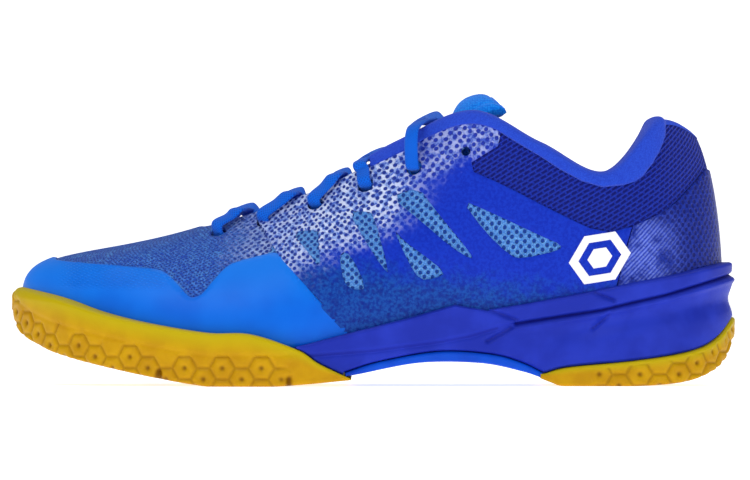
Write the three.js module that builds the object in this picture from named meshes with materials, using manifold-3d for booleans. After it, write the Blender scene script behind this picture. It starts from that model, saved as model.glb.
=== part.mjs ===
// A low-cut indoor court shoe, left foot, as its separate pieces. Millimetres.
// The toe points along -X, the outer (lateral) side faces -Y and +Z is up.
// The origin is on the ground under the middle of the shoe.
import * as THREE from "three";
import { mergeVertices } from "three/addons/utils/BufferGeometryUtils.js";
import Module from "manifold-3d";

const wasm = await Module();
wasm.setup();

// ---- driving dimensions ----
const GAP = 0.3; // clearance between pieces that touch
const SOLE_EDGE = 5.5; // how far the rubber stands out past the upper's lower edge
const MIDSOLE_EDGE = 5.2;
const PLATE_EDGE = 4.2;
const BALL_X = -45; // the lowest point of the footbed
const BED_BALL = 14; // height of the footbed at the ball, toe and heel
const BED_TOE = 28;
const BED_HEEL = 24;
const TOE_X = -140; // ends of the upper's lower edge
const HEEL_X = 139.5;
const BOARD = 2.0; // lasting board thickness
const INSOLE_BALL = 4.0; // insole thickness at the ball and at the heel
const INSOLE_HEEL = 6.0;
const WALL_INSET = 6.2; // from the upper's lower edge to the board
const INSOLE_INSET = 6.8;
const COLUMNS = 40; // grid of the upper: columns round the shoe, rows upwards
const ROWS = 9;
const LACE_WIDTH = 5.6;
const LACE_THICK = 2.0;
const EYELET_RADIUS = 3.7;
const EYELET_HEIGHT = 0.865; // share of the way from the sole to the throat's edge
const EYELETS = [2.2, 3.05, 3.85, 4.55, 5.2, 5.9]; // stations of the lateral row
const LOOP_LEAN = [0.25, 0.38, 0.3, -0.05, 0.12]; // how far each loop leans back, in stations

// Depths under the outermost surface at which each layer lies.
const FILM = [0, 0.6];
const MESH = [0.9, 2.4];
const STIFFENER = [2.7, 3.9];
const LINING = [4.2, 5.2];
const FOAM_DEPTH = 5.0; // how much thicker the wall is at the padded collar

// ---- the footbed ----
function bedHeight(x) {
  if (x < BALL_X) {
    return BED_BALL + (BED_TOE - BED_BALL) * ((BALL_X - x) / (BALL_X - TOE_X)) ** 2;
  }
  return BED_BALL + ((BED_HEEL - BED_BALL) * (x - BALL_X)) / (HEEL_X - BALL_X);
}

function insoleTop(x) {
  const back = THREE.MathUtils.smoothstep(x, BALL_X, 80);
  return bedHeight(x) + BOARD + 2 * GAP + THREE.MathUtils.lerp(INSOLE_BALL, INSOLE_HEEL, back);
}

// ---- the upper's outermost surface ----
// Twenty stations round the foot, from the toe along the lateral side to the
// heel and back along the medial side. foot is the lower edge seen from above,
// low says how far the wall leans out and rises from there, edge is the throat
// or collar edge, and high says how far the wall runs out and down from it.
const STATIONS = [
  { foot: [-139.5, 12], low: [8, 31], high: [49, 15.5], edge: [-68, 1, 65] },
  { foot: [-128, -10], low: [5.5, 28.5], high: [38, 13.5], edge: [-66, -6.5, 65] },
  { foot: [-107, -28], low: [4, 26], high: [21, 12], edge: [-60, -12, 66.5] },
  { foot: [-74, -41], low: [4, 26], high: [14, 14], edge: [-42, -14, 72] },
  { foot: [-38, -47], low: [2.5, 27], high: [15, 15], edge: [-18, -15.5, 80.8] },
  { foot: [0, -41.5], low: [3, 28], high: [13, 26], edge: [10, -20, 95.5] },
  { foot: [38, -33], low: [5, 28], high: [6, 34], edge: [39.5, -29.5, 107] },
  { foot: [75, -31], low: [4, 25], high: [2, 22], edge: [67, -31, 94.2] },
  { foot: [105, -31.5], low: [5, 25], high: [2, 20], edge: [93, -31, 82.8] },
  { foot: [127, -22], low: [4.5, 26], high: [3.5, 26], edge: [115, -23, 104.6] },
  { foot: [139.5, 0], low: [2, 26], high: [7.2, 13.5], edge: [130.3, 0, 99.5] },
  { foot: [127, 22], low: [4.5, 26], high: [3.5, 26], edge: [115, 23, 104.6] },
  { foot: [105, 31], low: [4.5, 25], high: [2, 20], edge: [93, 30, 82.8] },
  { foot: [75, 28.5], low: [5, 25], high: [2, 22], edge: [67, 31, 94.2] },
  { foot: [38, 26], low: [7, 28], high: [6, 34], edge: [39.5, 29.5, 107] },
  { foot: [0, 30.5], low: [6, 30], high: [12, 26], edge: [10, 20.5, 95.5] },
  { foot: [-32, 41.5], low: [3, 30], high: [14, 16], edge: [-18, 16, 80.8] },
  { foot: [-64, 47], low: [3, 28], high: [15, 13], edge: [-42, 14.5, 72] },
  { foot: [-97, 43], low: [4, 27], high: [20, 12], edge: [-60, 12.5, 66.5] },
  { foot: [-124, 31], low: [5, 27.5], high: [34, 13.5], edge: [-66, 7.5, 65] },
];

function ring(points) {
  return new THREE.CatmullRomCurve3(points, true, "catmullrom", 0.5);
}

const footRing = ring(
  STATIONS.map(({ foot: [x, y] }) => new THREE.Vector3(x, y, bedHeight(x))),
);

// The direction straight out of the shoe, level, at a share u of the way round.
function outward(u) {
  const along = footRing.getTangent(((u % 1) + 1) % 1);
  return new THREE.Vector3(along.y, -along.x, 0).normalize();
}

const lowRing = ring(
  STATIONS.map(({ foot: [x, y], low: [out, up] }, k) =>
    new THREE.Vector3(x, y, bedHeight(x) + up).addScaledVector(outward(k / STATIONS.length), out),
  ),
);
const edgeRing = ring(STATIONS.map(({ edge }) => new THREE.Vector3(...edge)));
const highRing = ring(
  STATIONS.map(({ edge: [x, y, z], high: [out, down] }, k) =>
    new THREE.Vector3(x, y, z - down).addScaledVector(outward(k / STATIONS.length), out),
  ),
);

// A point of the outermost surface: u round the shoe, v from the sole (0) to the edge (1).
function upperPoint(u, v) {
  const t = ((u % 1) + 1) % 1;
  const curve = new THREE.CubicBezierCurve3(
    footRing.getPoint(t),
    lowRing.getPoint(t),
    highRing.getPoint(t),
    edgeRing.getPoint(t),
  );
  return curve.getPoint(v);
}

const STEP = 1e-3;

// The surface's two directions and its outward normal at (u, v).
function frameOf(surface, u, v) {
  const low = Math.max(v - STEP, 0);
  const high = Math.min(v + STEP, 1);
  const round = surface(u + STEP, v).sub(surface(u - STEP, v)).normalize();
  const up = surface(u, high).sub(surface(u, low)).normalize();
  return { round, up, normal: round.clone().cross(up).normalize() };
}

function under(surface, u, v, depth) {
  return surface(u, v).addScaledVector(frameOf(surface, u, v).normal, -depth);
}

// ---- solid building ----
function meshGeometry(vertices, faces) {
  const geometry = new THREE.BufferGeometry();
  geometry.setAttribute(
    "position",
    new THREE.Float32BufferAttribute(vertices.flatMap((p) => p.toArray()), 3),
  );
  geometry.setIndex(faces.flat());
  return geometry;
}

// A closed sheet between two depths under a surface, on the grid lines us and vs.
function shell(surface, us, vs, outerDepth, innerDepth) {
  const vertices = [];
  const faces = [];
  for (const depth of [outerDepth, innerDepth]) {
    for (const u of us) {
      for (const v of vs) vertices.push(under(surface, u, v, depth(u, v)));
    }
  }
  const layer = us.length * vs.length;
  const at = (side, i, j) => side * layer + i * vs.length + j;
  const quad = (a, b, c, d) => faces.push([a, b, c], [a, c, d]);
  const lastU = us.length - 1;
  const lastV = vs.length - 1;
  for (let i = 0; i < lastU; i++) {
    for (let j = 0; j < lastV; j++) {
      quad(at(0, i, j), at(0, i + 1, j), at(0, i + 1, j + 1), at(0, i, j + 1));
      faces.push([at(1, i, j), at(1, i + 1, j + 1), at(1, i + 1, j)]);
      faces.push([at(1, i, j), at(1, i, j + 1), at(1, i + 1, j + 1)]);
    }
    quad(at(1, i, 0), at(1, i + 1, 0), at(0, i + 1, 0), at(0, i, 0));
    quad(at(0, i, lastV), at(0, i + 1, lastV), at(1, i + 1, lastV), at(1, i, lastV));
  }
  for (let j = 0; j < lastV; j++) {
    quad(at(1, 0, j), at(0, 0, j), at(0, 0, j + 1), at(1, 0, j + 1));
    quad(at(0, lastU, j), at(1, lastU, j), at(1, lastU, j + 1), at(0, lastU, j + 1));
  }
  return meshGeometry(vertices, faces);
}

const EDGE_TRIM = 0.03; // of a grid cell: what a panel leaves free along each edge

function gridLines(from, to, cells) {
  const lines = [from + EDGE_TRIM];
  for (let k = from + 1; k < to; k++) lines.push(k);
  lines.push(to - EDGE_TRIM);
  return lines.map((k) => k / cells);
}

// A panel of the upper between columns, rows and depths.
function panel([firstColumn, lastColumn], [firstRow, lastRow], [outer, inner]) {
  const depth = (d) => (typeof d === "function" ? d : () => d);
  return shell(
    upperPoint,
    gridLines(firstColumn, lastColumn, COLUMNS),
    gridLines(firstRow, lastRow, ROWS),
    depth(outer),
    depth(inner),
  );
}

// A closed solid over two rings of points, lower and upper, with each lid laid
// across from the lateral side to the medial side.
function lidded(rings) {
  const count = rings[0].length;
  const vertices = rings.flat();
  const faces = [];
  for (let level = 0; level + 1 < rings.length; level++) {
    for (let i = 0; i < count; i++) {
      const a = level * count + i;
      const b = level * count + ((i + 1) % count);
      faces.push([a, b, b + count], [a, b + count, a + count]);
    }
  }
  const top = (rings.length - 1) * count;
  for (let i = 0; i < count / 2; i++) {
    const quad = [i, i + 1, (count - i - 1) % count, (count - i) % count];
    const corners = quad.filter((k, n) => quad.indexOf(k) === n);
    for (let n = 1; n + 1 < corners.length; n++) {
      faces.push([corners[0], corners[n + 1], corners[n]]);
      faces.push([top + corners[0], top + corners[n], top + corners[n + 1]]);
    }
  }
  return meshGeometry(vertices, faces);
}

// The plan outline of the foot, moved out by a distance.
function planRing(out) {
  return Array.from({ length: COLUMNS }, (_, i) => {
    const u = i / COLUMNS;
    return footRing.getPoint(u).addScaledVector(outward(u), out);
  });
}

// A plate that follows the plan outline between two heights that vary along X.
function plate(out, low, high) {
  const level = (height) => planRing(out).map((p) => new THREE.Vector3(p.x, p.y, height(p.x)));
  return lidded([level(low), level(high)]);
}

// A side profile, [x, z] points joined by straight or smooth stretches, as a
// slab across the whole width of the shoe.
const SLAB = 140;
function slab(stretches) {
  const shape = new THREE.Shape();
  const toPoint = ([x, z]) => new THREE.Vector2(x, z);
  shape.moveTo(...stretches[0][0]);
  for (const stretch of stretches) {
    shape.lineTo(...stretch[0]);
    if (stretch.length === 2) shape.lineTo(...stretch[1]);
    if (stretch.length > 2) shape.splineThru(stretch.slice(1).map(toPoint));
  }
  const geometry = new THREE.ExtrudeGeometry(shape, {
    depth: SLAB,
    bevelEnabled: false,
    curveSegments: 2,
  });
  return geometry.rotateX(Math.PI / 2).translate(0, SLAB / 2, 0);
}

const raised = (points, up) => points.map(([x, z]) => [x, z + up]);
const reversed = (points) => [...points].reverse();

function solid(geometry) {
  const bare = geometry.clone();
  bare.deleteAttribute("normal");
  bare.deleteAttribute("uv");
  const merged = mergeVertices(bare, 1e-4);
  return new wasm.Manifold(
    new wasm.Mesh({
      numProp: 3,
      vertProperties: new Float32Array(merged.attributes.position.array),
      triVerts: new Uint32Array(merged.index.array),
    }),
  );
}

function geometryOf(manifold) {
  const { vertProperties, triVerts } = manifold.getMesh();
  const geometry = new THREE.BufferGeometry();
  geometry.setAttribute("position", new THREE.BufferAttribute(vertProperties, 3));
  geometry.setIndex(new THREE.BufferAttribute(triVerts, 1));
  return geometry;
}

// ---- the space the upper takes, which every sole piece is cut by ----
function upperSpace() {
  const levels = [];
  for (let row = 0; row <= ROWS; row++) {
    const drop = row === 0 ? GAP : 0;
    levels.push(
      Array.from({ length: COLUMNS }, (_, i) => {
        const p = under(upperPoint, i / COLUMNS, row / ROWS, -GAP);
        p.z -= drop;
        return p;
      }),
    );
  }
  return solid(lidded(levels));
}

// ---- sole profiles, seen from the side ----
const TOP_Z = 60;
const foreTop = [
  [-141.5, 38.6],
  [-127, 34.9],
  [-110.6, 29.6],
  [-91.3, 25.2],
  [-66.9, 21.4],
  [-49.3, 20.8],
  [-30, 14.8],
  [-21.2, 9.2],
  [-8.4, 3.0],
];
const foreBottom = [
  [-40, 0],
  [-66, 0],
];
const foreToe = [
  [-66, 0],
  [-93, 4.6],
  [-125, 12.2],
  [-139.8, 19.2],
  [-145.2, 30],
];
const plateTop = [
  [-11.2, 5.4],
  [2.8, 9.8],
  [26.8, 13.8],
  [47.3, 12.6],
  [59.7, 9.2],
  [67.5, 5.4],
];
const plateBottom = [
  [66.5, 3.4],
  [58.9, 6.0],
  [42.9, 9.2],
  [18.8, 9.4],
  [-5.2, 5.0],
  [-8.6, 3.9],
];
const heelTop = [
  [68.5, 5.2],
  [78.1, 7.6],
  [104.6, 10.2],
  [126.2, 13.6],
  [137.4, 18.4],
  [145.2, 27.6],
];
const heelBottom = [
  [145.2, 20],
  [139.4, 8.2],
  [126.2, 2],
  [105, 0],
];
const midsoleTop = [
  [-31, 15.6],
  [-9.2, 21.2],
  [14.8, 27.2],
  [32.8, 32.4],
];
const bandTop = [
  [46.5, 30.6],
  [63.7, 33.4],
  [90.9, 38.5],
  [123, 44.5],
  [145.2, 49.4],
];
// The recess in each rubber sole that the foam fills.
const foreCore = [
  [-150, 31],
  [-139, 23.5],
  [-109, 12.9],
  [-77, 6.2],
  [-64, 4.6],
  [-40, 4.4],
  [-24, 5.4],
];
const heelCore = [
  [80, 4.6],
  [110, 4.6],
  [126, 7.5],
  [150, 18],
];

function withinPlan(out, profile) {
  const plan = solid(plate(out, () => -1, () => TOP_Z));
  return plan.intersect(solid(slab(profile)));
}

function core(points, grow) {
  const low = raised(points, -grow);
  const first = low[0];
  const last = low[low.length - 1];
  const ends = [
    [last[0] + grow, TOP_Z],
    [first[0] - grow, TOP_Z],
  ];
  low[0] = [first[0] - grow, first[1]];
  low[low.length - 1] = [last[0] + grow, last[1]];
  return withinPlan(-0.5 + grow, [low, ends]).intersect(
    solid(plate(0, () => -1, (x) => bedHeight(x) + 1)),
  );
}

function outsoleForefoot(space) {
  return withinPlan(SOLE_EDGE, [foreTop, foreBottom, foreToe])
    .subtract(space)
    .subtract(core(foreCore, GAP));
}

function outsoleHeel(space) {
  const front = [
    [76, 0],
    [66.4, 3.2],
  ];
  return withinPlan(SOLE_EDGE, [heelTop, heelBottom, front])
    .subtract(space)
    .subtract(core(heelCore, GAP));
}

function archShank() {
  return withinPlan(PLATE_EDGE, [plateTop, plateBottom]);
}

const FORE_PAD = { x: -58, y: 2, length: 52, width: 60, low: 9.2, high: 13.0 };
const HEEL_PAD = { x: 106, y: 0, length: 44, width: 38, low: 12.4, high: 20.4 };

function pad({ x, y, length, width, low, high }, grow, top = high) {
  const height = top - low + grow;
  const disc = new THREE.CylinderGeometry(1, 1, height, 20).rotateX(Math.PI / 2);
  disc.scale(length / 2 + grow, width / 2 + grow, 1);
  return disc.translate(x, y, low - grow + height / 2);
}

function midsole(space) {
  const lift = 1.3 * GAP;
  const foreSide = raised(reversed(foreTop.slice(-3, -1)), lift);
  const profile = [
    midsoleTop,
    bandTop,
    raised(reversed(heelTop), lift),
    raised(reversed(plateTop), lift),
    foreSide,
  ];
  const middle = withinPlan(MIDSOLE_EDGE, profile);
  return middle
    .add(core(foreCore, 0))
    .add(core(heelCore, 0))
    .subtract(space)
    .subtract(solid(pad(FORE_PAD, GAP, TOP_Z)))
    .subtract(solid(pad(HEEL_PAD, GAP, TOP_Z)));
}

// ---- the tongue ----
const TONGUE_LINE = new THREE.CatmullRomCurve3(
  [
    [-78, 51],
    [-66, 54.5],
    [-52, 60.5],
    [-38, 67],
    [-18, 75.5],
    [8, 88],
    [29.5, 101],
  ].map(([x, z]) => new THREE.Vector3(x, 0, z)),
  false,
  "catmullrom",
  0.5,
);
const TONGUE_ARCH = 0.034; // how fast the tongue falls away from its middle, per mm
const TONGUE_LAYERS = [0, 1, 4.6, 5.6];
const TONGUE_GRID = 10;

// Half the tongue's width: narrow where it is sewn under the vamp, wide under the
// laces and narrower again at its top seam.
function tongueHalfWidth(s) {
  const front = THREE.MathUtils.smoothstep(s, 0, 0.5);
  const back = THREE.MathUtils.smoothstep(s, 0.72, 0.95);
  return 13 + 10 * front - 6 * back;
}

function tonguePoint(s, w) {
  const p = TONGUE_LINE.getPoint(THREE.MathUtils.clamp(s, 0, 1));
  p.y = (2 * w - 1) * tongueHalfWidth(s);
  p.z -= TONGUE_ARCH * p.y * p.y;
  return p;
}

// The tongue's own top surface has its normal up when s runs along and w across.
function tongueSheet(outer, inner) {
  const across = Array.from({ length: 7 }, (_, k) => k / 6);
  const along = Array.from({ length: TONGUE_GRID + 1 }, (_, k) => k / TONGUE_GRID);
  return shell((u, v) => tonguePoint(u, v), along, across, () => outer, () => inner);
}

const TOP_HINGE = new THREE.Vector3(29.9, 0, 101.4); // where the tongue's top is sewn on
const TOP_TILT = THREE.MathUtils.degToRad(45);
const TOP_LENGTH = 23;
const TOP_HALF_WIDTH = 18;
const TOP_THICK = 11.5;
const TOP_CROWN = 5.0;
const TOP_ARCH = 0.03; // how fast the pad falls away to its sides, per mm

// The padded top: a crowned pad that leans back from the seam.
function tongueTopPoint(s, w) {
  const y = (2 * w - 1) * TOP_HALF_WIDTH * (1 - 0.12 * s * s);
  const crown = TOP_CROWN * Math.sin(Math.PI * THREE.MathUtils.clamp(s, 0, 1));
  const p = new THREE.Vector3(GAP + TOP_LENGTH * s, y, crown - TOP_ARCH * y * y);
  return p.applyAxisAngle(new THREE.Vector3(0, -1, 0), TOP_TILT).add(TOP_HINGE);
}

function tongueTop() {
  const steps = [0, 0.15, 0.35, 0.55, 0.75, 0.9, 1];
  const outer = (s) => 1.2 * s ** 6;
  const inner = (s, w) => {
    const round = 1 - 0.55 * (2 * w - 1) ** 4;
    return 3.6 * s ** 6 + (TOP_THICK - 6.4 * s ** 5) * round;
  };
  return shell(tongueTopPoint, steps, steps, outer, inner);
}

// ---- the lace ----
const THROAT = new THREE.Vector3(0.88, 0, 0.47); // the way the throat climbs
const ACROSS = new THREE.Vector3(0, 1, 0);

const station = (k, side) => (side < 0 ? k : STATIONS.length - k) / STATIONS.length;

// A flat band along a smooth path. guides give the way its width lies at each point.
function band(points, guides, steps, halfWidth, halfThick) {
  const path = new THREE.CatmullRomCurve3(points, false, "catmullrom", 0.5);
  const sides = 6;
  const vertices = [];
  const faces = [];
  for (let k = 0; k <= steps; k++) {
    const t = k / steps;
    const tangent = path.getTangent(t);
    const place = t * (guides.length - 1);
    const from = Math.min(Math.floor(place), guides.length - 2);
    const width = guides[from].clone().lerp(guides[from + 1], place - from);
    width.addScaledVector(tangent, -width.dot(tangent)).normalize();
    const thick = tangent.clone().cross(width);
    const centre = path.getPoint(t);
    for (let n = 0; n < sides; n++) {
      const angle = (2 * Math.PI * n) / sides;
      const p = centre.clone().addScaledVector(width, halfWidth * Math.cos(angle));
      vertices.push(p.addScaledVector(thick, (halfThick * Math.sin(angle)) / Math.sin(Math.PI / 3)));
    }
  }
  for (let k = 0; k < steps; k++) {
    for (let n = 0; n < sides; n++) {
      const a = k * sides + n;
      const b = k * sides + ((n + 1) % sides);
      faces.push([a, b, b + sides], [a, b + sides, a + sides]);
    }
  }
  const last = steps * sides;
  for (let n = 1; n + 1 < sides; n++) {
    faces.push([0, n + 1, n], [last, last + n, last + n + 1]);
  }
  return meshGeometry(vertices, faces);
}

const INSIDE = STIFFENER[1] + 2 * GAP + LACE_THICK / 2 + 0.2; // depth of a lace under the eyestay
const OUTSIDE = -(LACE_THICK / 2 + GAP + 0.2);

// Up through an eyelet, from under the eyestay to just outside it.
function throughEyelet(side, row) {
  const u = station(EYELETS[row], side);
  return [
    under(upperPoint, u, EYELET_HEIGHT, INSIDE),
    under(upperPoint, u, EYELET_HEIGHT, (MESH[1] + STIFFENER[0]) / 2),
    under(upperPoint, u, EYELET_HEIGHT + 0.01, OUTSIDE - 0.6),
  ];
}

// The points of one crossing: out of an eyelet, over that side's edge, across
// the tongue and under the other side's edge, towards the next eyelet.
function crossing(side, row, rise) {
  const lean = LOOP_LEAN[row];
  const hug = under(upperPoint, station(EYELETS[row] + 0.45 * lean, side), 0.945, OUTSIDE - 0.4);
  const over = under(upperPoint, station(EYELETS[row] + lean, side), 1, OUTSIDE - 0.7);
  const below = under(upperPoint, station(EYELETS[row + 1] - 0.3, -side), 1, INSIDE + GAP);
  const middle = over.clone().lerp(below, 0.5);
  middle.z += rise;
  return [...throughEyelet(side, row), hug, over, middle, below];
}

const BAR_Z = 61.2; // middle of the bar over the tongue
const TUCK = [34, 20.7, 97]; // where the lace goes down beside the tongue
const LAST = EYELETS.length - 2; // the topmost eyelet that is laced

// The last stretch: up from the top eyelet, over the collar and the tongue, and
// down beside the tongue on the other side.
function lastStretch(side, rise) {
  return [
    ...throughEyelet(side, LAST),
    under(upperPoint, station(EYELETS[LAST] + LOOP_LEAN[LAST], side), 1, OUTSIDE - 6.2),
    new THREE.Vector3(23, side * 9, 105.5 + rise),
    new THREE.Vector3(26.5, -side * 9, 104.3 + rise / 2),
    new THREE.Vector3(31.5, -side * 18.5, 102),
    new THREE.Vector3(TUCK[0], -side * TUCK[1], TUCK[2]),
  ];
}

function halfLace(side) {
  const points = [];
  let from = side;
  for (let row = 0; row < LAST; row++) {
    points.push(...crossing(from, row, from > 0 ? 3.4 : 0.9));
    from = -from;
  }
  return points.concat(lastStretch(from, from > 0 ? 2.6 : 0));
}

// The lace's two halves start from a bar across the tongue at the lowest eyelets.
function lace() {
  const lateral = halfLace(-1);
  const medial = halfLace(1);
  const bar = lateral[0].clone().lerp(medial[0], 0.5).setZ(BAR_Z);
  const points = [...lateral.reverse(), bar, ...medial];
  const guides = points.map(() => THROAT);
  return band(points, guides, 130, LACE_WIDTH / 2, LACE_THICK / 2);
}

const AGLET_LENGTH = 20;
const AGLET_RADIUS = 1.5;
const TAIL_END_X = -88;

function tailPoints(side) {
  const drop = [
    [34.2, 20.8, 96.4],
    [37, 21, 88],
    [40, 21.3, 74],
    [42, 21, 60],
    [40, 19, 46],
    [31, 16.5, 34.5],
  ];
  const lying = [14, -6, -28, -50, -70, TAIL_END_X];
  const low = lying.map((x) => [x, 14 + 2.2 * Math.sin(x / 19), insoleTop(x) + LACE_THICK / 2 + 3 * GAP]);
  return [...drop, ...low].map(([x, y, z]) => new THREE.Vector3(x, side * y, z));
}

function laceTail(side) {
  const points = tailPoints(side);
  const guides = points.map((_, k) => THROAT.clone().lerp(ACROSS, Math.min(k / 4, 1)));
  return band(points, guides, 44, LACE_WIDTH / 2, LACE_THICK / 2);
}

// The plastic tip, lying on the insole in line with the end of its tail.
function aglet(side) {
  const points = tailPoints(side);
  const end = points[points.length - 1];
  const along = end.clone().sub(points[points.length - 2]);
  along.z = insoleTop(end.x - AGLET_LENGTH) - insoleTop(end.x);
  along.setX(-AGLET_LENGTH).normalize();
  const tip = new THREE.CylinderGeometry(AGLET_RADIUS, AGLET_RADIUS, AGLET_LENGTH, 8);
  const turn = new THREE.Quaternion().setFromUnitVectors(new THREE.Vector3(0, 1, 0), along);
  const middle = end.clone().addScaledVector(along, AGLET_LENGTH / 2 + GAP + 0.2);
  middle.z += AGLET_RADIUS - LACE_THICK / 2 + 0.2;
  return tip.applyQuaternion(turn).translate(...middle.toArray());
}

// ---- eyelet holes ----
function eyeletPunch(side, k) {
  const u = station(k, side);
  const { normal } = frameOf(upperPoint, u, EYELET_HEIGHT);
  const punch = new THREE.CylinderGeometry(EYELET_RADIUS, EYELET_RADIUS, 16, 8);
  const turn = new THREE.Quaternion().setFromUnitVectors(new THREE.Vector3(0, 1, 0), normal);
  punch.applyQuaternion(turn);
  return solid(punch.translate(...upperPoint(u, EYELET_HEIGHT).toArray()));
}

function withEyelets(geometry, sides) {
  let made = solid(geometry);
  for (const side of sides) {
    for (const k of EYELETS) made = made.subtract(eyeletPunch(side, k));
  }
  return geometryOf(made);
}

// ---- the padded collar ----
// How thick the foam is at a place on the collar: none at the front corner and
// low on the wall, thickest just under the edge.
function foamThickness(u, v) {
  const column = u * COLUMNS;
  const front = THREE.MathUtils.smoothstep(Math.min(column - 12, 28 - column), 0, 3);
  const rise = THREE.MathUtils.smoothstep(v, 5.6 / ROWS, 7.5 / ROWS);
  return FOAM_DEPTH * front * rise;
}

const foamInner = (u, v) => STIFFENER[0] + 1.2 + foamThickness(u, v);
const liningOuter = (u, v) => LINING[0] + foamThickness(u, v);
const liningInner = (u, v) => LINING[1] + foamThickness(u, v);

// The soft roll that closes the collar's edge: thicker where the wall is padded,
// and low over the heel's tab, between these columns.
const TAB = [18, 22];

function collarBinding() {
  const first = 9.6;
  const places = [first];
  for (let k = Math.ceil(first); k <= COLUMNS - first; k++) places.push(k);
  places.push(COLUMNS - first);
  const count = places.length - 1;
  const sides = 8;
  const vertices = [];
  const faces = [];
  for (const column of places) {
    const u = column / COLUMNS;
    const { normal, up } = frameOf(upperPoint, u, 1);
    const padded = column >= 12 && column <= COLUMNS - 12;
    const low = column >= TAB[0] && column <= TAB[1];
    const rollHeight = low ? 0.8 : 1.5;
    const clearance = low ? 4 * GAP : 3 * GAP;
    const deepest = padded ? liningInner(u, 1) : STIFFENER[1];
    const centre = under(upperPoint, u, 1, deepest / 2).addScaledVector(up, rollHeight + clearance);
    for (let n = 0; n < sides; n++) {
      const angle = (2 * Math.PI * n) / sides;
      const p = centre.clone().addScaledVector(normal, (deepest / 2 + 0.4) * Math.cos(angle));
      vertices.push(p.addScaledVector(up, rollHeight * Math.sin(angle)));
    }
  }
  for (let k = 0; k < count; k++) {
    for (let n = 0; n < sides; n++) {
      const a = k * sides + n;
      const b = k * sides + ((n + 1) % sides);
      faces.push([a, b + sides, b], [a, a + sides, b + sides]);
    }
  }
  const end = count * sides;
  for (let n = 1; n + 1 < sides; n++) {
    faces.push([0, n, n + 1], [end, end + n + 1, end + n]);
  }
  return meshGeometry(vertices, faces);
}

// ---- materials ----
function material(color, roughness) {
  return new THREE.MeshStandardMaterial({ color, roughness, metalness: 0 });
}

const GUM = "#c2a21c";
const AZURE = "#0878e0";
const VIOLET_BLUE = "#2a33b4";
const ROYAL_MESH = "#2b4fae";
const NAVY = "#1a2490";
const WHITE = "#f4f4f6";
const BLACK_FOAM = "#2b2c30";

// ---- assembly ----
const group = new THREE.Group();
function place(name, geometry, look) {
  const mesh = new THREE.Mesh(geometry, look);
  mesh.name = name;
  group.add(mesh);
}

const space = upperSpace();
place("outsole_forefoot", geometryOf(outsoleForefoot(space)), material(GUM, 0.55));
place("outsole_heel", geometryOf(outsoleHeel(space)), material(GUM, 0.55));
place("midsole", geometryOf(midsole(space)), material(VIOLET_BLUE, 0.45));
place("arch_shank", geometryOf(archShank()), material(AZURE, 0.35));
place("forefoot_cushion", pad(FORE_PAD, 0), material("#e8e8ec", 0.6));
place("heel_cushion", pad(HEEL_PAD, 0), material("#e8e8ec", 0.6));

const boardLow = (x) => bedHeight(x) + GAP;
const boardHigh = (x) => bedHeight(x) + BOARD + GAP;
place("lasting_board", plate(-WALL_INSET, boardLow, boardHigh), material("#d8d4c8", 0.9));
place("insole", plate(-INSOLE_INSET, (x) => boardHigh(x) + GAP, insoleTop), material(NAVY, 0.9));

place("toe_guard", panel([-7, 9], [0, 4], FILM), material(AZURE, 0.3));
place("side_film_lateral", panel([9, 17], [0, 7], FILM), material(VIOLET_BLUE, 0.4));
place("side_film_medial", panel([23, 33], [0, 7], FILM), material(VIOLET_BLUE, 0.4));
place("heel_film", panel([17, 23], [0, 5], FILM), material(NAVY, 0.4));

const vamp = withEyelets(panel([-7, 7], [0, 9], MESH), [-1, 1]);
place("vamp", vamp, material(ROYAL_MESH, 0.8));
place("toe_puff", panel([-5, 5], [0, 4], STIFFENER), material("#d8d4c8", 0.8));
place("vamp_lining", panel([-7, 7], [0, 6], LINING), material(NAVY, 0.9));
place("collar_mesh", panel([13, 27], [0, 9], MESH), material(NAVY, 0.8));
place("heel_counter", panel([15, 25], [0, 5], STIFFENER), material("#d8d4c8", 0.6));
place("collar_foam", panel([13, 27], [6, 9], [STIFFENER[0], foamInner]), material(BLACK_FOAM, 0.9));
place("rear_lining", panel([12, 28], [0, 9], [liningOuter, liningInner]), material(NAVY, 0.9));
place("collar_binding", collarBinding(), material("#2a46d2", 0.8));

for (const [name, side, front, middle] of [
  ["lateral", -1, [7, 13], [7, 12]],
  ["medial", 1, [27, 33], [28, 33]],
]) {
  const stay = side < 0 ? [4, 12] : [28, 36];
  const quarter = withEyelets(panel(front, [0, 9], MESH), [side]);
  place(`quarter_${name}`, quarter, material(ROYAL_MESH, 0.8));
  const eyestay = withEyelets(panel(stay, [7, 9], STIFFENER), [side]);
  place(`eyestay_${name}`, eyestay, material(NAVY, 0.6));
  place(`lining_${name}`, panel(middle, [0, 6], LINING), material(NAVY, 0.9));
  place(`lace_tail_${name}`, laceTail(side), material(AZURE, 0.8));
  place(`aglet_${name}`, aglet(side), material(AZURE, 0.3));
  const badge = side < 0 ? [14, 16] : [24, 26];
  place(`badge_${name}`, panel(badge, [3, 5], [-GAP - 0.4, -GAP]), material(WHITE, 0.5));
}

const [faceTop, faceBottom, foamBottom, liningBottom] = TONGUE_LAYERS;
place("tongue_face", tongueSheet(faceTop, faceBottom), material(AZURE, 0.8));
place("tongue_foam", tongueSheet(faceBottom + GAP, foamBottom), material(BLACK_FOAM, 0.9));
place("tongue_lining", tongueSheet(foamBottom + GAP, liningBottom), material(NAVY, 0.9));
place("tongue_top", tongueTop(), material(AZURE, 0.8));
place("lace", lace(), material(AZURE, 0.8));

export default group;
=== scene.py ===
"""The looks of the court shoe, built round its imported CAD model.

Outlines and sizes are in millimetres, as in part.mjs, and turned to metres as each
mesh is made. The toe points along -X, the outer (lateral) side faces -Y, +Z is up.
"""
import math

import bmesh
import bpy
import numpy as np
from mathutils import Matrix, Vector
from mathutils.geometry import delaunay_2d_cdt


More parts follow.
